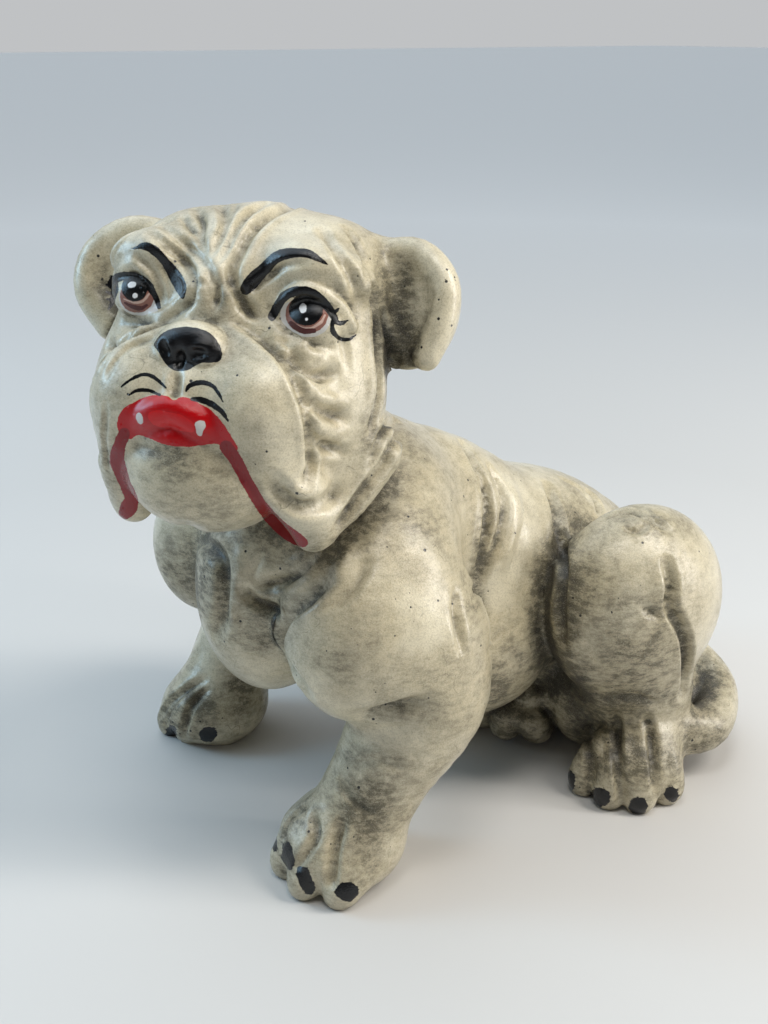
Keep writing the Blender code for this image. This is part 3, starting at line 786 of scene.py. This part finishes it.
# Each coat of paint: its attribute, its shapes
COATS = [
    ("lip_paint", LIPS),
    ("lip_light", LIP_LIGHTS),
    ("drip_paint_and_shade", DRIPS),
    ("white_paint", EYE_WHITES + FANGS),
    ("iris_paint", IRISES),
    ("iris_light", IRIS_LIGHTS),
    ("iris_shade", IRIS_SHADES),
    ("black_paint", EYE_BLACKS + BROWS + NOSE + WHISKERS),
    ("nail_paint", NAILS),
    ("painted_glint_highlight", GLINT_HIGHLIGHTS),
]
FAR_OFF = -6.0
PAINT_MARGIN = 26
PAINT_REACH = 24
NOT_NEAR = 99.0


def on_view(points):
    """Where points of the statue, in modules, lie on the view."""
    right, up, back = view_axes()
    from_station = points - np.array(VIEW_TARGET) - back * VIEW_DISTANCE
    depth = from_station @ -back
    return np.stack([VIEW_WIDE / 2 + VIEW_FOCUS * (from_station @ right) / depth,
                     VIEW_HIGH / 2 - VIEW_FOCUS * (from_station @ up) / depth], 1)


def along_oval(shape, spots):
    """How far spots lie from an oval's middle, along its width and its height."""
    x, y = (spots - shape["place"]).T
    c, s = math.cos(shape["lean"]), math.sin(shape["lean"])
    return np.stack([x * c + y * s, y * c - x * s], 1)


def inside_oval(shape, spots):
    local = along_oval(shape, spots)
    half = np.array(shape["half"])
    inner = np.linalg.norm(local / half, axis=1)
    slope = np.linalg.norm(local / half**2, axis=1)
    return inner * (1 - inner) / np.maximum(slope, TINY)


def inside_brushed(shape, spots):
    rows = curve_through(shape["rows"], 5)
    best = np.full(len(spots), -1e3)
    for a, b in zip(rows, rows[1:]):
        along = b[:2] - a[:2]
        t = np.clip((spots - a[:2]) @ along / max(along @ along, TINY), 0, 1)
        gap = np.linalg.norm(spots - a[:2] - t[:, None] * along, axis=1)
        best = np.maximum(best, a[2] + (b[2] - a[2]) * t - gap)
    return best


def inside_filled(shape, spots):
    rows = shape["rows"]
    ring = curve_through(np.vstack([rows[-1:], rows, rows[:2]]), 4)[4:-4]
    gap = np.full(len(spots), 1e3)
    crossings = np.zeros(len(spots), int)
    x, y = spots.T
    for a, b in zip(ring, ring[1:]):
        along = b - a
        t = np.clip((spots - a) @ along / max(along @ along, TINY), 0, 1)
        gap = np.minimum(gap, np.linalg.norm(spots - a - t[:, None] * along, axis=1))
        crosses = (a[1] > y) != (b[1] > y)
        reach = a[0] + (y - a[1]) * (b[0] - a[0]) / (b[1] - a[1] if b[1] != a[1] else TINY)
        crossings += crosses & (x < reach)
    return np.where(crossings % 2 == 1, gap, -gap)


INSIDE = {"oval": inside_oval, "brushed": inside_brushed, "filled": inside_filled}


def shape_spots(shape):
    if shape["kind"] == "oval":
        return np.array([shape["place"]], float)
    return shape["rows"][:, :2]


def paint_depths(points, field, shapes):
    """How far each point lies inside the shapes, in view points; outside it is negative."""
    found = np.full(len(points), FAR_OFF)
    spots = on_view(points)
    for shape in shapes:
        flat = shape_spots(shape)
        anchors = field.seen(flat)
        low, high = flat.min(0) - PAINT_MARGIN, flat.max(0) + PAINT_MARGIN
        near = np.flatnonzero(((spots > low) & (spots < high)).all(1))
        if not len(near):
            continue
        gap = np.min(np.linalg.norm(points[near, None] - anchors[None], axis=2), axis=1)
        near = near[gap < PAINT_REACH]
        found[near] = np.maximum(found[near], INSIDE[shape["kind"]](shape, spots[near]))
    return np.maximum(found, FAR_OFF)


def thickness_of(points, field, smudges):
    """How thick the smudges of wash and painted shade lie at each point, fading out from each oval's
    middle.
    """
    found = np.zeros(len(points))
    spots = on_view(points)
    for *row, share in smudges:
        shape = oval(*row)
        middle = field.seen([shape["place"]])[0]
        local = along_oval(shape, spots) / np.array(shape["half"])
        layer = share * np.exp(-0.9 * (local**2).sum(1) ** 1.5)
        reach = max(shape["half"]) * 1.2 + 30
        layer *= np.clip(2 - np.linalg.norm(points - middle, axis=1) / reach, 0, 1)
        found = np.maximum(found, layer)
    return found


def finer_at_paint(mesh, field):
    """More points where the paint's edges run."""
    shapes = [shape for _, coat in COATS for shape in coat]
    for reach, longest in ((4.0, 2.0), (2.2, 1.05)):
        bm = bmesh.new()
        bm.from_mesh(mesh)
        bm.verts.ensure_lookup_table()
        points = np.array([v.co[:] for v in bm.verts])
        nearest = np.full(len(points), NOT_NEAR)
        for shape in shapes:
            depth = paint_depths(points, field, [shape])
            nearest = np.minimum(nearest, np.where(depth > FAR_OFF, np.abs(depth), NOT_NEAR))
        edges = [e for e in bm.edges if min(nearest[e.verts[0].index], nearest[e.verts[1].index]) < reach
                 and e.calc_length() > longest]
        bmesh.ops.subdivide_edges(bm, edges=edges, cuts=1, use_grid_fill=False)
        bmesh.ops.triangulate(bm, faces=[f for f in bm.faces if len(f.verts) > 3])
        bm.to_mesh(mesh)
        bm.free()


def keep(mesh, name, values):
    attribute = mesh.attributes.new(name, "FLOAT", "POINT")
    attribute.data.foreach_set("value", np.asarray(values, np.float32))


def hollow_of(points, normals, field, reaches):
    """How closed in the surface is round each point, from 0 in the open to 1 in a pocket."""
    total = np.zeros(len(points))
    for reach in reaches:
        total += np.clip(1 - field.at(points + normals * reach) / reach, -0.3, 1)
    return total / len(reaches)


def rings_mean(mesh, values, rounds):
    """Values smoothed over neighbouring points."""
    a, b = edge_ends(mesh)
    count = np.maximum(np.bincount(np.concatenate([a, b]), minlength=len(values)), 1)
    for _ in range(rounds):
        total = np.bincount(a, values[b], len(values)) + np.bincount(b, values[a], len(values))
        values = 0.4 * values + 0.6 * total / count
    return values


def folds_of(mesh, points, normals):
    """How much each point lies in a fold, over zero, or on a ridge, under zero."""
    a, b = edge_ends(mesh)
    along = points[b] - points[a]
    length = np.maximum(np.linalg.norm(along, axis=1), TINY)
    bend = ((normals[a] - normals[b]) * along).sum(1) / length**2
    total = np.bincount(a, bend, len(points)) + np.bincount(b, bend, len(points))
    return total / np.maximum(np.bincount(np.concatenate([a, b]), minlength=len(points)), 1)


def spare_the_face(statue):
    """A weight that lets the plain body lose its triangles before the face does."""
    points = points_of(statue.data)
    away = np.linalg.norm(points - np.array(HEAD @ Vector((0, -60, -10))), axis=1)
    weights = np.clip((away - 90) / 40, 0, 1)
    plain = statue.vertex_groups.new(name="plain")
    for level in np.unique(np.round(weights, 1)):
        chosen = np.flatnonzero(np.round(weights, 1) == level)
        plain.add(chosen.tolist(), 0.2 + 0.8 * float(level), "REPLACE")


def saw_flat(mesh, height):
    bm = bmesh.new()
    bm.from_mesh(mesh)
    everything = bm.verts[:] + bm.edges[:] + bm.faces[:]
    bmesh.ops.bisect_plane(bm, geom=everything, plane_co=(0, 0, height), plane_no=(0, 0, -1),
                           clear_outer=True)
    bmesh.ops.holes_fill(bm, edges=[e for e in bm.edges if e.is_boundary], sides=0)
    bmesh.ops.triangulate(bm, faces=[f for f in bm.faces if len(f.verts) > 3])
    bm.to_mesh(mesh)
    bm.free()


def shaped_skin(field):
    """The carved surface as one object, finest in the face and at the paint's edges, flat underneath."""
    statue = bpy.data.objects.new("bulldog_skin", lumps_mesh())
    bpy.context.scene.collection.objects.link(statue)
    applied(statue, "REMESH", mode="VOXEL", voxel_size=CLAY_GRAIN)
    settle(statue.data, field)
    set_points(statue.data, relaxed(statue.data, points_of(statue.data), 0.4))
    faces = sum(len(p.vertices) - 2 for p in statue.data.polygons)
    spare_the_face(statue)
    applied(statue, "DECIMATE", ratio=SKIN_TRIANGLES / faces, vertex_group="plain", vertex_group_factor=1.5)
    saw_flat(statue.data, 0.0)
    finer_at_paint(statue.data, field)
    return statue


def keep_grime_shade_and_paint(mesh, field, uncarved):
    """What the finish reads at each point: its folds and pockets, where wash and painted shade go, its
    smudges and its paint.
    """
    points, normals = points_of(mesh), normals_of(mesh)
    folds = folds_of(mesh, points, normals)
    keep(mesh, "fold", rings_mean(mesh, folds, 2) * 5)
    carved, field.values = field.values, uncarved
    keep(mesh, "groove", rings_mean(mesh, -field.at(points), 1))
    field.values = carved
    keep(mesh, "broad_fold", rings_mean(mesh, folds, 20) * 12)
    # Hollows and sheltered places: masks for the wash and for painted shade.
    keep(mesh, "hollow", rings_mean(mesh, hollow_of(points, normals, field, (5, 11)), 2))
    keep(mesh, "shelter_shade", rings_mean(mesh, hollow_of(points, normals, field, (30, 48)), 3))
    # The smudges: wash and painted shade.
    keep(mesh, "smudge_and_shade", thickness_of(points, field, SMUDGES_AND_SHADE))
    keep(mesh, "pitted", thickness_of(points, field, PITTED))
    for name, shapes in COATS:
        keep(mesh, name, paint_depths(points, field, shapes))


def worked_statue():
    """The statue's skin at its real size, with every fold."""
    field = Field(FIELD_STEP)
    uncarved = field.values.copy()
    carve(field)
    statue = shaped_skin(field)
    keep_grime_shade_and_paint(statue.data, field, uncarved)
    set_points(statue.data, (points_of(statue.data) - np.array((*MIDDLE, 0))) * MODULE)
    statue.data.shade_smooth()
    return statue


class Mix:
    """A tree of nodes put together step by step."""

    def __init__(self, tree):
        self.tree = tree

    def step(self, kind, inputs=None, **settings):
        node = self.tree.nodes.new(kind)
        for name, value in settings.items():
            setattr(node, name, value)
        for name, value in (inputs or {}).items():
            self.put(node.inputs[name], value)
        return node

    def put(self, socket, value):
        if isinstance(value, bpy.types.NodeSocket):
            self.tree.links.new(value, socket)
        else:
            socket.default_value = value

    def sum(self, operation, *terms):
        node = self.step("ShaderNodeMath", operation=operation)
        for socket, term in zip(node.inputs, terms):
            self.put(socket, term)
        return node.outputs[0]

    def ramp(self, value, start, end, low=0.0, high=1.0):
        """A smooth step from low to high as the value goes from start to end."""
        return self.step("ShaderNodeMapRange", {0: value, 1: start, 2: end, 3: low, 4: high},
                         interpolation_type="SMOOTHSTEP").outputs[0]

    def over(self, under, colour, cover, blend="MIX"):
        """A colour laid over what is under it, as thick as cover."""
        node = self.step("ShaderNodeMix", data_type="RGBA", blend_type=blend)
        for name, value in (("Factor_Float", cover), ("A_Color", under), ("B_Color", colour)):
            self.put(next(s for s in node.inputs if s.identifier == name), value)
        return next(s for s in node.outputs if s.identifier == "Result_Color")

    def blended(self, low, high, share):
        """A number between two others."""
        return self.sum("ADD", self.sum("MULTIPLY", high, share),
                        self.sum("MULTIPLY", low, self.sum("SUBTRACT", 1.0, share)))


class Finish(Mix):
    """A material, laid out on the object's own places."""

    def __init__(self, name):
        self.material = bpy.data.materials.new(name)
        self.material.use_nodes = True
        super().__init__(self.material.node_tree)
        self.shader = self.tree.nodes["Principled BSDF"]
        self.place = self.step("ShaderNodeTexCoord").outputs["Object"]

    def kept(self, name):
        """Values kept at the mesh's points."""
        return self.step("ShaderNodeAttribute", attribute_name=name).outputs["Fac"]

    def mottle(self, size, detail, harshness, stretch=(1, 1, 1), shift=(0, 0, 0)):
        """An even noise, from 0 to 1, with blotches of this size in metres."""
        place = self.step("ShaderNodeMapping", {"Vector": self.place, "Scale": stretch, "Location": shift})
        noise = {"Vector": place.outputs[0], "Scale": 1 / size, "Detail": detail, "Roughness": harshness}
        return self.step("ShaderNodeTexNoise", noise).outputs["Fac"]


# The colours of concrete, wash and painted shade, paint, and the floor
CREAM = (0.58, 0.505, 0.335, 1)
PALE_CREAM = (0.74, 0.67, 0.49, 1)
SAND_GREY = (0.36, 0.315, 0.215, 1)
GRIME_AND_SHADE = (0.118, 0.103, 0.064, 1)
DEEP_SHADE_AND_DIRT = (0.022, 0.019, 0.014, 1)
PIT_DARK = (0.020, 0.017, 0.013, 1)
GRAIN_DARK = (0.46, 0.42, 0.35, 1)
SAND_PALE = (0.84, 0.80, 0.68, 1)
FLOOR_SHADE_NEAR = (0.60, 0.585, 0.56, 1)
FLOOR_LIGHT_FAR = (0.88, 0.87, 0.85, 1)
PAINTS = {
    "lip_paint": (0.440, 0.0016, 0.0040, 1),
    "lip_light": (0.60, 0.0040, 0.0060, 1),
    # The drips' red is the lips' red made darker as painted shade.
    "drip_paint_and_shade": (0.225, 0.0012, 0.0034, 1),
    "white_paint": (0.62, 0.60, 0.56, 1),
    "iris_paint": (0.270, 0.120, 0.090, 1),
    "iris_light": (0.60, 0.42, 0.35, 1),
    "iris_shade": (0.080, 0.016, 0.014, 1),
    "black_paint": (0.0025, 0.0026, 0.0030, 1),
    "nail_paint": (0.0045, 0.0045, 0.0050, 1),
    "painted_glint_highlight": (0.90, 0.90, 0.90, 1),
}


def washed_and_shaded(f):
    """The cream concrete, and how thick the smoky wash and the painted shade lie on it: wiped off swells,
    left in folds, with painted shade in grooves, hollows, sheltered places, the smudges and low down.
    """
    fold, broad, groove, hollow = (f.kept(n) for n in ("fold", "broad_fold", "groove", "hollow"))
    shelter_shade, smudge_and_shade = f.kept("shelter_shade"), f.kept("smudge_and_shade")
    clouds = f.mottle(0.070, 4, 0.62)
    smears = f.mottle(0.026, 5, 0.68, stretch=(1, 1, 0.7), shift=(3, 1, 2))
    wisps = f.mottle(0.0085, 4, 0.80, stretch=(0.8, 0.8, 1.7), shift=(1, 5, 2))

    tone = f.over(CREAM, PALE_CREAM, f.ramp(clouds, 0.42, 0.66))
    tone = f.over(tone, PALE_CREAM, f.sum("MULTIPLY", f.ramp(broad, -0.10, -0.60), 0.45))
    tone = f.over(tone, SAND_GREY, f.sum("MULTIPLY", f.ramp(smears, 0.44, 0.70), 0.45))

    # Painted shade in part: grooves, bends, hollows and sheltered places take the wash, real wash in the
    # folds and shade where it falls.
    cut = f.sum("MULTIPLY", f.ramp(groove, 0.8, 7.0), 0.72)
    bent = f.sum("MULTIPLY", f.ramp(fold, 0.12, 0.9), 0.55)
    closed = f.sum("MULTIPLY", f.ramp(hollow, 0.10, 0.62), 0.75)
    deep = f.sum("MULTIPLY", f.ramp(shelter_shade, 0.36, 0.95), 0.80)
    pocket = f.sum("ADD", f.sum("ADD", cut, bent), f.sum("ADD", closed, deep))
    # left is how thick the wash and the painted shade lie.
    left = f.sum("MULTIPLY", pocket, f.ramp(smears, 0.30, 0.68, 0.42, 1.30))
    # Painted shade: darker towards the bottom, laid with the smudges.
    height = f.step("ShaderNodeSeparateXYZ", {0: f.place}).outputs["Z"]
    low_shade = f.ramp(height, 0.17, 0.03, 0.0, 0.34)
    laid = f.sum("ADD", smudge_and_shade, low_shade)
    left = f.sum("ADD", left, f.sum("MULTIPLY", laid, f.ramp(smears, 0.30, 0.68, 0.80, 1.35)))
    left = f.sum("MULTIPLY", left, f.ramp(wisps, 0.32, 0.66, 0.62, 1.25))
    film = f.sum("MULTIPLY", f.ramp(wisps, 0.38, 0.72), f.ramp(clouds, 0.60, 0.38, 0.20, 0.85))
    return tone, left, film, smears, wisps


def crackled(f):
    """Hairline cracks in the sealer, in a few patches."""
    drift = f.step("ShaderNodeTexNoise", {"Vector": f.place, "Scale": 60.0, "Detail": 2.0})
    bent = f.step("ShaderNodeVectorMath", {0: drift.outputs["Color"], "Scale": 0.022}, operation="SCALE")
    place = f.step("ShaderNodeVectorMath", {0: f.place, 1: bent.outputs[0]}, operation="ADD")
    cells = f.step("ShaderNodeTexVoronoi", {"Vector": place.outputs[0], "Scale": 26.0},
                   feature="DISTANCE_TO_EDGE")
    line = f.ramp(cells.outputs["Distance"], 0.011, 0.002)
    return f.sum("MULTIPLY", line, f.ramp(f.mottle(0.03, 3, 0.7, shift=(4, 4, 9)), 0.52, 0.66))


def pinholes(f):
    """Small round air holes, most of them in crowds."""
    cells = f.step("ShaderNodeTexVoronoi", {"Vector": f.place, "Scale": 230.0, "Randomness": 1.0})
    rare = f.step("ShaderNodeSeparateColor", {"Color": cells.outputs["Color"]})
    crowd = f.ramp(f.mottle(0.040, 3, 0.6, shift=(2, 8, 1)), 0.48, 0.74, 0.006, 0.20)
    crowd = f.sum("ADD", crowd, f.sum("MULTIPLY", f.kept("pitted"), 0.42))
    here = f.sum("LESS_THAN", rare.outputs[0], crowd)
    width = f.ramp(rare.outputs[1], 0.0, 1.0, 0.07, 0.24)
    return f.sum("MULTIPLY", here, f.ramp(f.sum("SUBTRACT", cells.outputs["Distance"], width), 0.05, -0.03))


def cast_concrete():
    """Sealed cream concrete with a smoky wash and painted shade in its folds, pinholes, and the painted
    face and nails, with painted highlights in the eyes.
    """
    f = Finish("sealed_concrete")
    tone, left, film, smears, wisps = washed_and_shaded(f)
    # The wash colour goes where the wash lies and where shade is painted; the darkest brown in the deepest
    # pockets is painted shade with dirt.
    dirt_and_shade = f.sum("ADD", f.sum("MULTIPLY", left, 0.74), f.sum("MULTIPLY", film, 0.62))
    dirt_and_shade = f.sum("MINIMUM", dirt_and_shade, 0.92)
    tone = f.over(tone, GRIME_AND_SHADE, dirt_and_shade)
    tone = f.over(tone, DEEP_SHADE_AND_DIRT, f.sum("MULTIPLY", f.ramp(left, 0.85, 2.1), 0.80))

    grain = f.mottle(0.0012, 3, 0.75)
    sand = f.mottle(0.0006, 1, 0.5, shift=(7, 2, 4))
    dark_grain = f.sum("MULTIPLY", f.ramp(grain, 0.46, 0.66), 0.42)
    tone = f.over(tone, GRAIN_DARK, dark_grain, "MULTIPLY")
    tone = f.over(tone, SAND_PALE, f.sum("MULTIPLY", f.ramp(sand, 0.54, 0.72), 0.18))
    tone = f.over(tone, GRIME_AND_SHADE, f.sum("MULTIPLY", crackled(f), 0.55))
    pit = pinholes(f)
    tone = f.over(tone, PIT_DARK, pit)

    painted = 0.0
    for name, _ in COATS:
        wobble = 1.3 if name == "nail_paint" else 0.45
        edge = f.sum("ADD", f.kept(name), f.ramp(wisps, 0.3, 0.7, -wobble, wobble))
        cover = f.ramp(edge, -0.30, 0.30)
        tone = f.over(tone, PAINTS[name], cover)
        painted = f.sum("MAXIMUM", painted, cover)
    f.put(f.shader.inputs["Base Color"], tone)

    sealed = f.blended(0.28, 0.46, f.ramp(smears, 0.35, 0.70))
    sealed = f.sum("ADD", sealed, f.sum("MULTIPLY", dirt_and_shade, 0.25))
    f.put(f.shader.inputs["Roughness"], f.blended(sealed, 0.14, painted))
    f.shader.inputs["Specular IOR Level"].default_value = 0.40
    sealer = f.sum("SUBTRACT", 0.80, f.sum("MULTIPLY", dirt_and_shade, 0.62))
    f.put(f.shader.inputs["Coat Weight"], f.blended(sealer, 0.15, painted))
    f.shader.inputs["Coat Roughness"].default_value = 0.24
    f.shader.inputs["Coat IOR"].default_value = 1.45

    relief = f.sum("MULTIPLY", f.mottle(0.010, 3, 0.6), 0.00060)
    relief = f.sum("ADD", relief, f.sum("MULTIPLY", grain, 0.00050))
    relief = f.sum("SUBTRACT", relief, f.sum("MULTIPLY", pit, 0.0006))
    bump = f.step("ShaderNodeBump", {"Height": relief, "Strength": 0.5, "Distance": 1.0})
    f.put(f.shader.inputs["Normal"], bump.outputs[0])
    even = f.step("ShaderNodeNewGeometry").outputs["Normal"]
    halfway = f.step("ShaderNodeVectorMath", {0: bump.outputs[0], 1: even}, operation="ADD")
    filled = f.step("ShaderNodeVectorMath", {0: halfway.outputs[0]}, operation="NORMALIZE")
    f.put(f.shader.inputs["Coat Normal"], filled.outputs[0])
    return f.material


def studio_floor():
    """A wide pale floor, coloured darker near the statue as painted shade and paler far from it as painted
    light.
    """
    f = Finish("pale_floor")
    reach = f.step("ShaderNodeVectorMath", {0: f.place}, operation="LENGTH").outputs["Value"]
    far = f.step("ShaderNodeMapRange", {0: reach, 1: 0.8, 2: 3.0}).outputs[0]
    # Painted shade near the statue, painted light far off.
    f.put(f.shader.inputs["Base Color"], f.over(FLOOR_SHADE_NEAR, FLOOR_LIGHT_FAR, far))
    f.shader.inputs["Roughness"].default_value = 0.9
    bpy.ops.mesh.primitive_plane_add(size=60, location=(0, 0, 0))
    floor = bpy.context.object
    floor.name = "studio_floor"
    floor.data.materials.append(f.material)


LAMP_AIM = (0, 0, 0.23)
SENSOR_WIDTH = 36


def soft_light(name, place, size, power, colour):
    """A lamp as wide and high as its size, turned to the statue's middle."""
    bpy.ops.object.light_add(type="AREA", location=place)
    lamp = bpy.context.object
    lamp.name = name
    lamp.data.shape = "RECTANGLE"
    lamp.data.size, lamp.data.size_y = size
    lamp.data.energy = power
    lamp.data.color = colour
    lamp.rotation_euler = (Vector(LAMP_AIM) - Vector(place)).to_track_quat("-Z", "Y").to_euler()


def along_view(right_way, up_way, back_way):
    """A place so far to the right, up and back from the statue's middle, as the camera sees it."""
    right, up, back = view_axes()
    return tuple(np.array(LAMP_AIM) + right * right_way + up * up_way + back * back_way)


def photograph_view():
    """The camera, where the tool marks and the paint are laid out from."""
    right, up, back = view_axes()
    aim = (np.array(VIEW_TARGET) - np.array((*MIDDLE, 0))) * MODULE
    place = aim + back * VIEW_DISTANCE * MODULE
    bpy.ops.object.camera_add(location=place)
    camera = bpy.context.object
    camera.rotation_euler = Matrix((right, up, back)).transposed().to_euler()
    camera.data.sensor_width = SENSOR_WIDTH
    camera.data.lens = VIEW_FOCUS * SENSOR_WIDTH / VIEW_HIGH
    bpy.context.scene.camera = camera


def pale_room():
    """A dim room with pale walls low down, palest behind the statue."""
    world = bpy.data.worlds.new("pale_room")
    world.use_nodes = True
    air = Mix(world.node_tree)
    way = air.step("ShaderNodeTexCoord").outputs["Generated"]
    back = view_axes()[2]
    far_wall = Vector((-back[0], -back[1], 0.0)).normalized()
    towards = air.step("ShaderNodeVectorMath", {0: way, 1: far_wall}, operation="DOT_PRODUCT")
    wall = air.ramp(towards.outputs["Value"], 0.2, 0.95, 0.07, 0.55)
    height = air.step("ShaderNodeSeparateXYZ", {0: way}).outputs["Z"]
    skirting = air.step("ShaderNodeMapRange", {0: height, 1: 0.22, 2: 0.48, 3: 0.36, 4: 0.0}).outputs[0]
    background = world.node_tree.nodes["Background"]
    air.put(background.inputs["Strength"], air.sum("MAXIMUM", wall, skirting))
    background.inputs["Color"].default_value = (0.96, 0.98, 1.0, 1)
    bpy.context.scene.world = world
    bpy.context.scene.view_settings.view_transform = "Standard"


def skylight(strength, colour):
    """A wide, even light from overhead, a little to the left and behind as the camera sees it."""
    bpy.ops.object.light_add(type="SUN", location=(0, 0, 3))
    sky = bpy.context.object
    sky.name = "skylight"
    sky.data.energy = strength
    sky.data.color = colour
    sky.data.angle = math.radians(70)
    right, _, back = view_axes()
    from_sky = Vector(0.35 * right + 0.30 * back) - Vector((0, 0, 1.0))
    sky.rotation_euler = from_sky.to_track_quat("-Z", "Y").to_euler()


def soft_studio():
    soft_light("high_window", along_view(1.3, 1.4, 1.0), (0.6, 0.8), 24, (1.0, 0.96, 0.90))
    soft_light("side_window", along_view(2.0, 0.45, 0.55), (0.22, 1.5), 21, (1.0, 0.98, 0.96))
    soft_light("front", along_view(0.0, 1.7, 1.4), (0.7, 0.5), 11, (1.0, 0.97, 0.93))
    soft_light("left_window", along_view(-1.9, 0.9, 0.1), (0.6, 0.9), 15, (0.45, 0.74, 1.0))
    skylight(1.6, (0.74, 0.87, 1.0))
    pale_room()


bpy.ops.object.select_all(action="DESELECT")
model_forms()
model_pads()
mark_fine()
sharpen_tools()
bulldog = worked_statue()
bulldog.data.materials.clear()
bulldog.data.materials.append(cast_concrete())
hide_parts("bulldog_statue")
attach(bulldog, "root")
studio_floor()
soft_studio()
photograph_view()
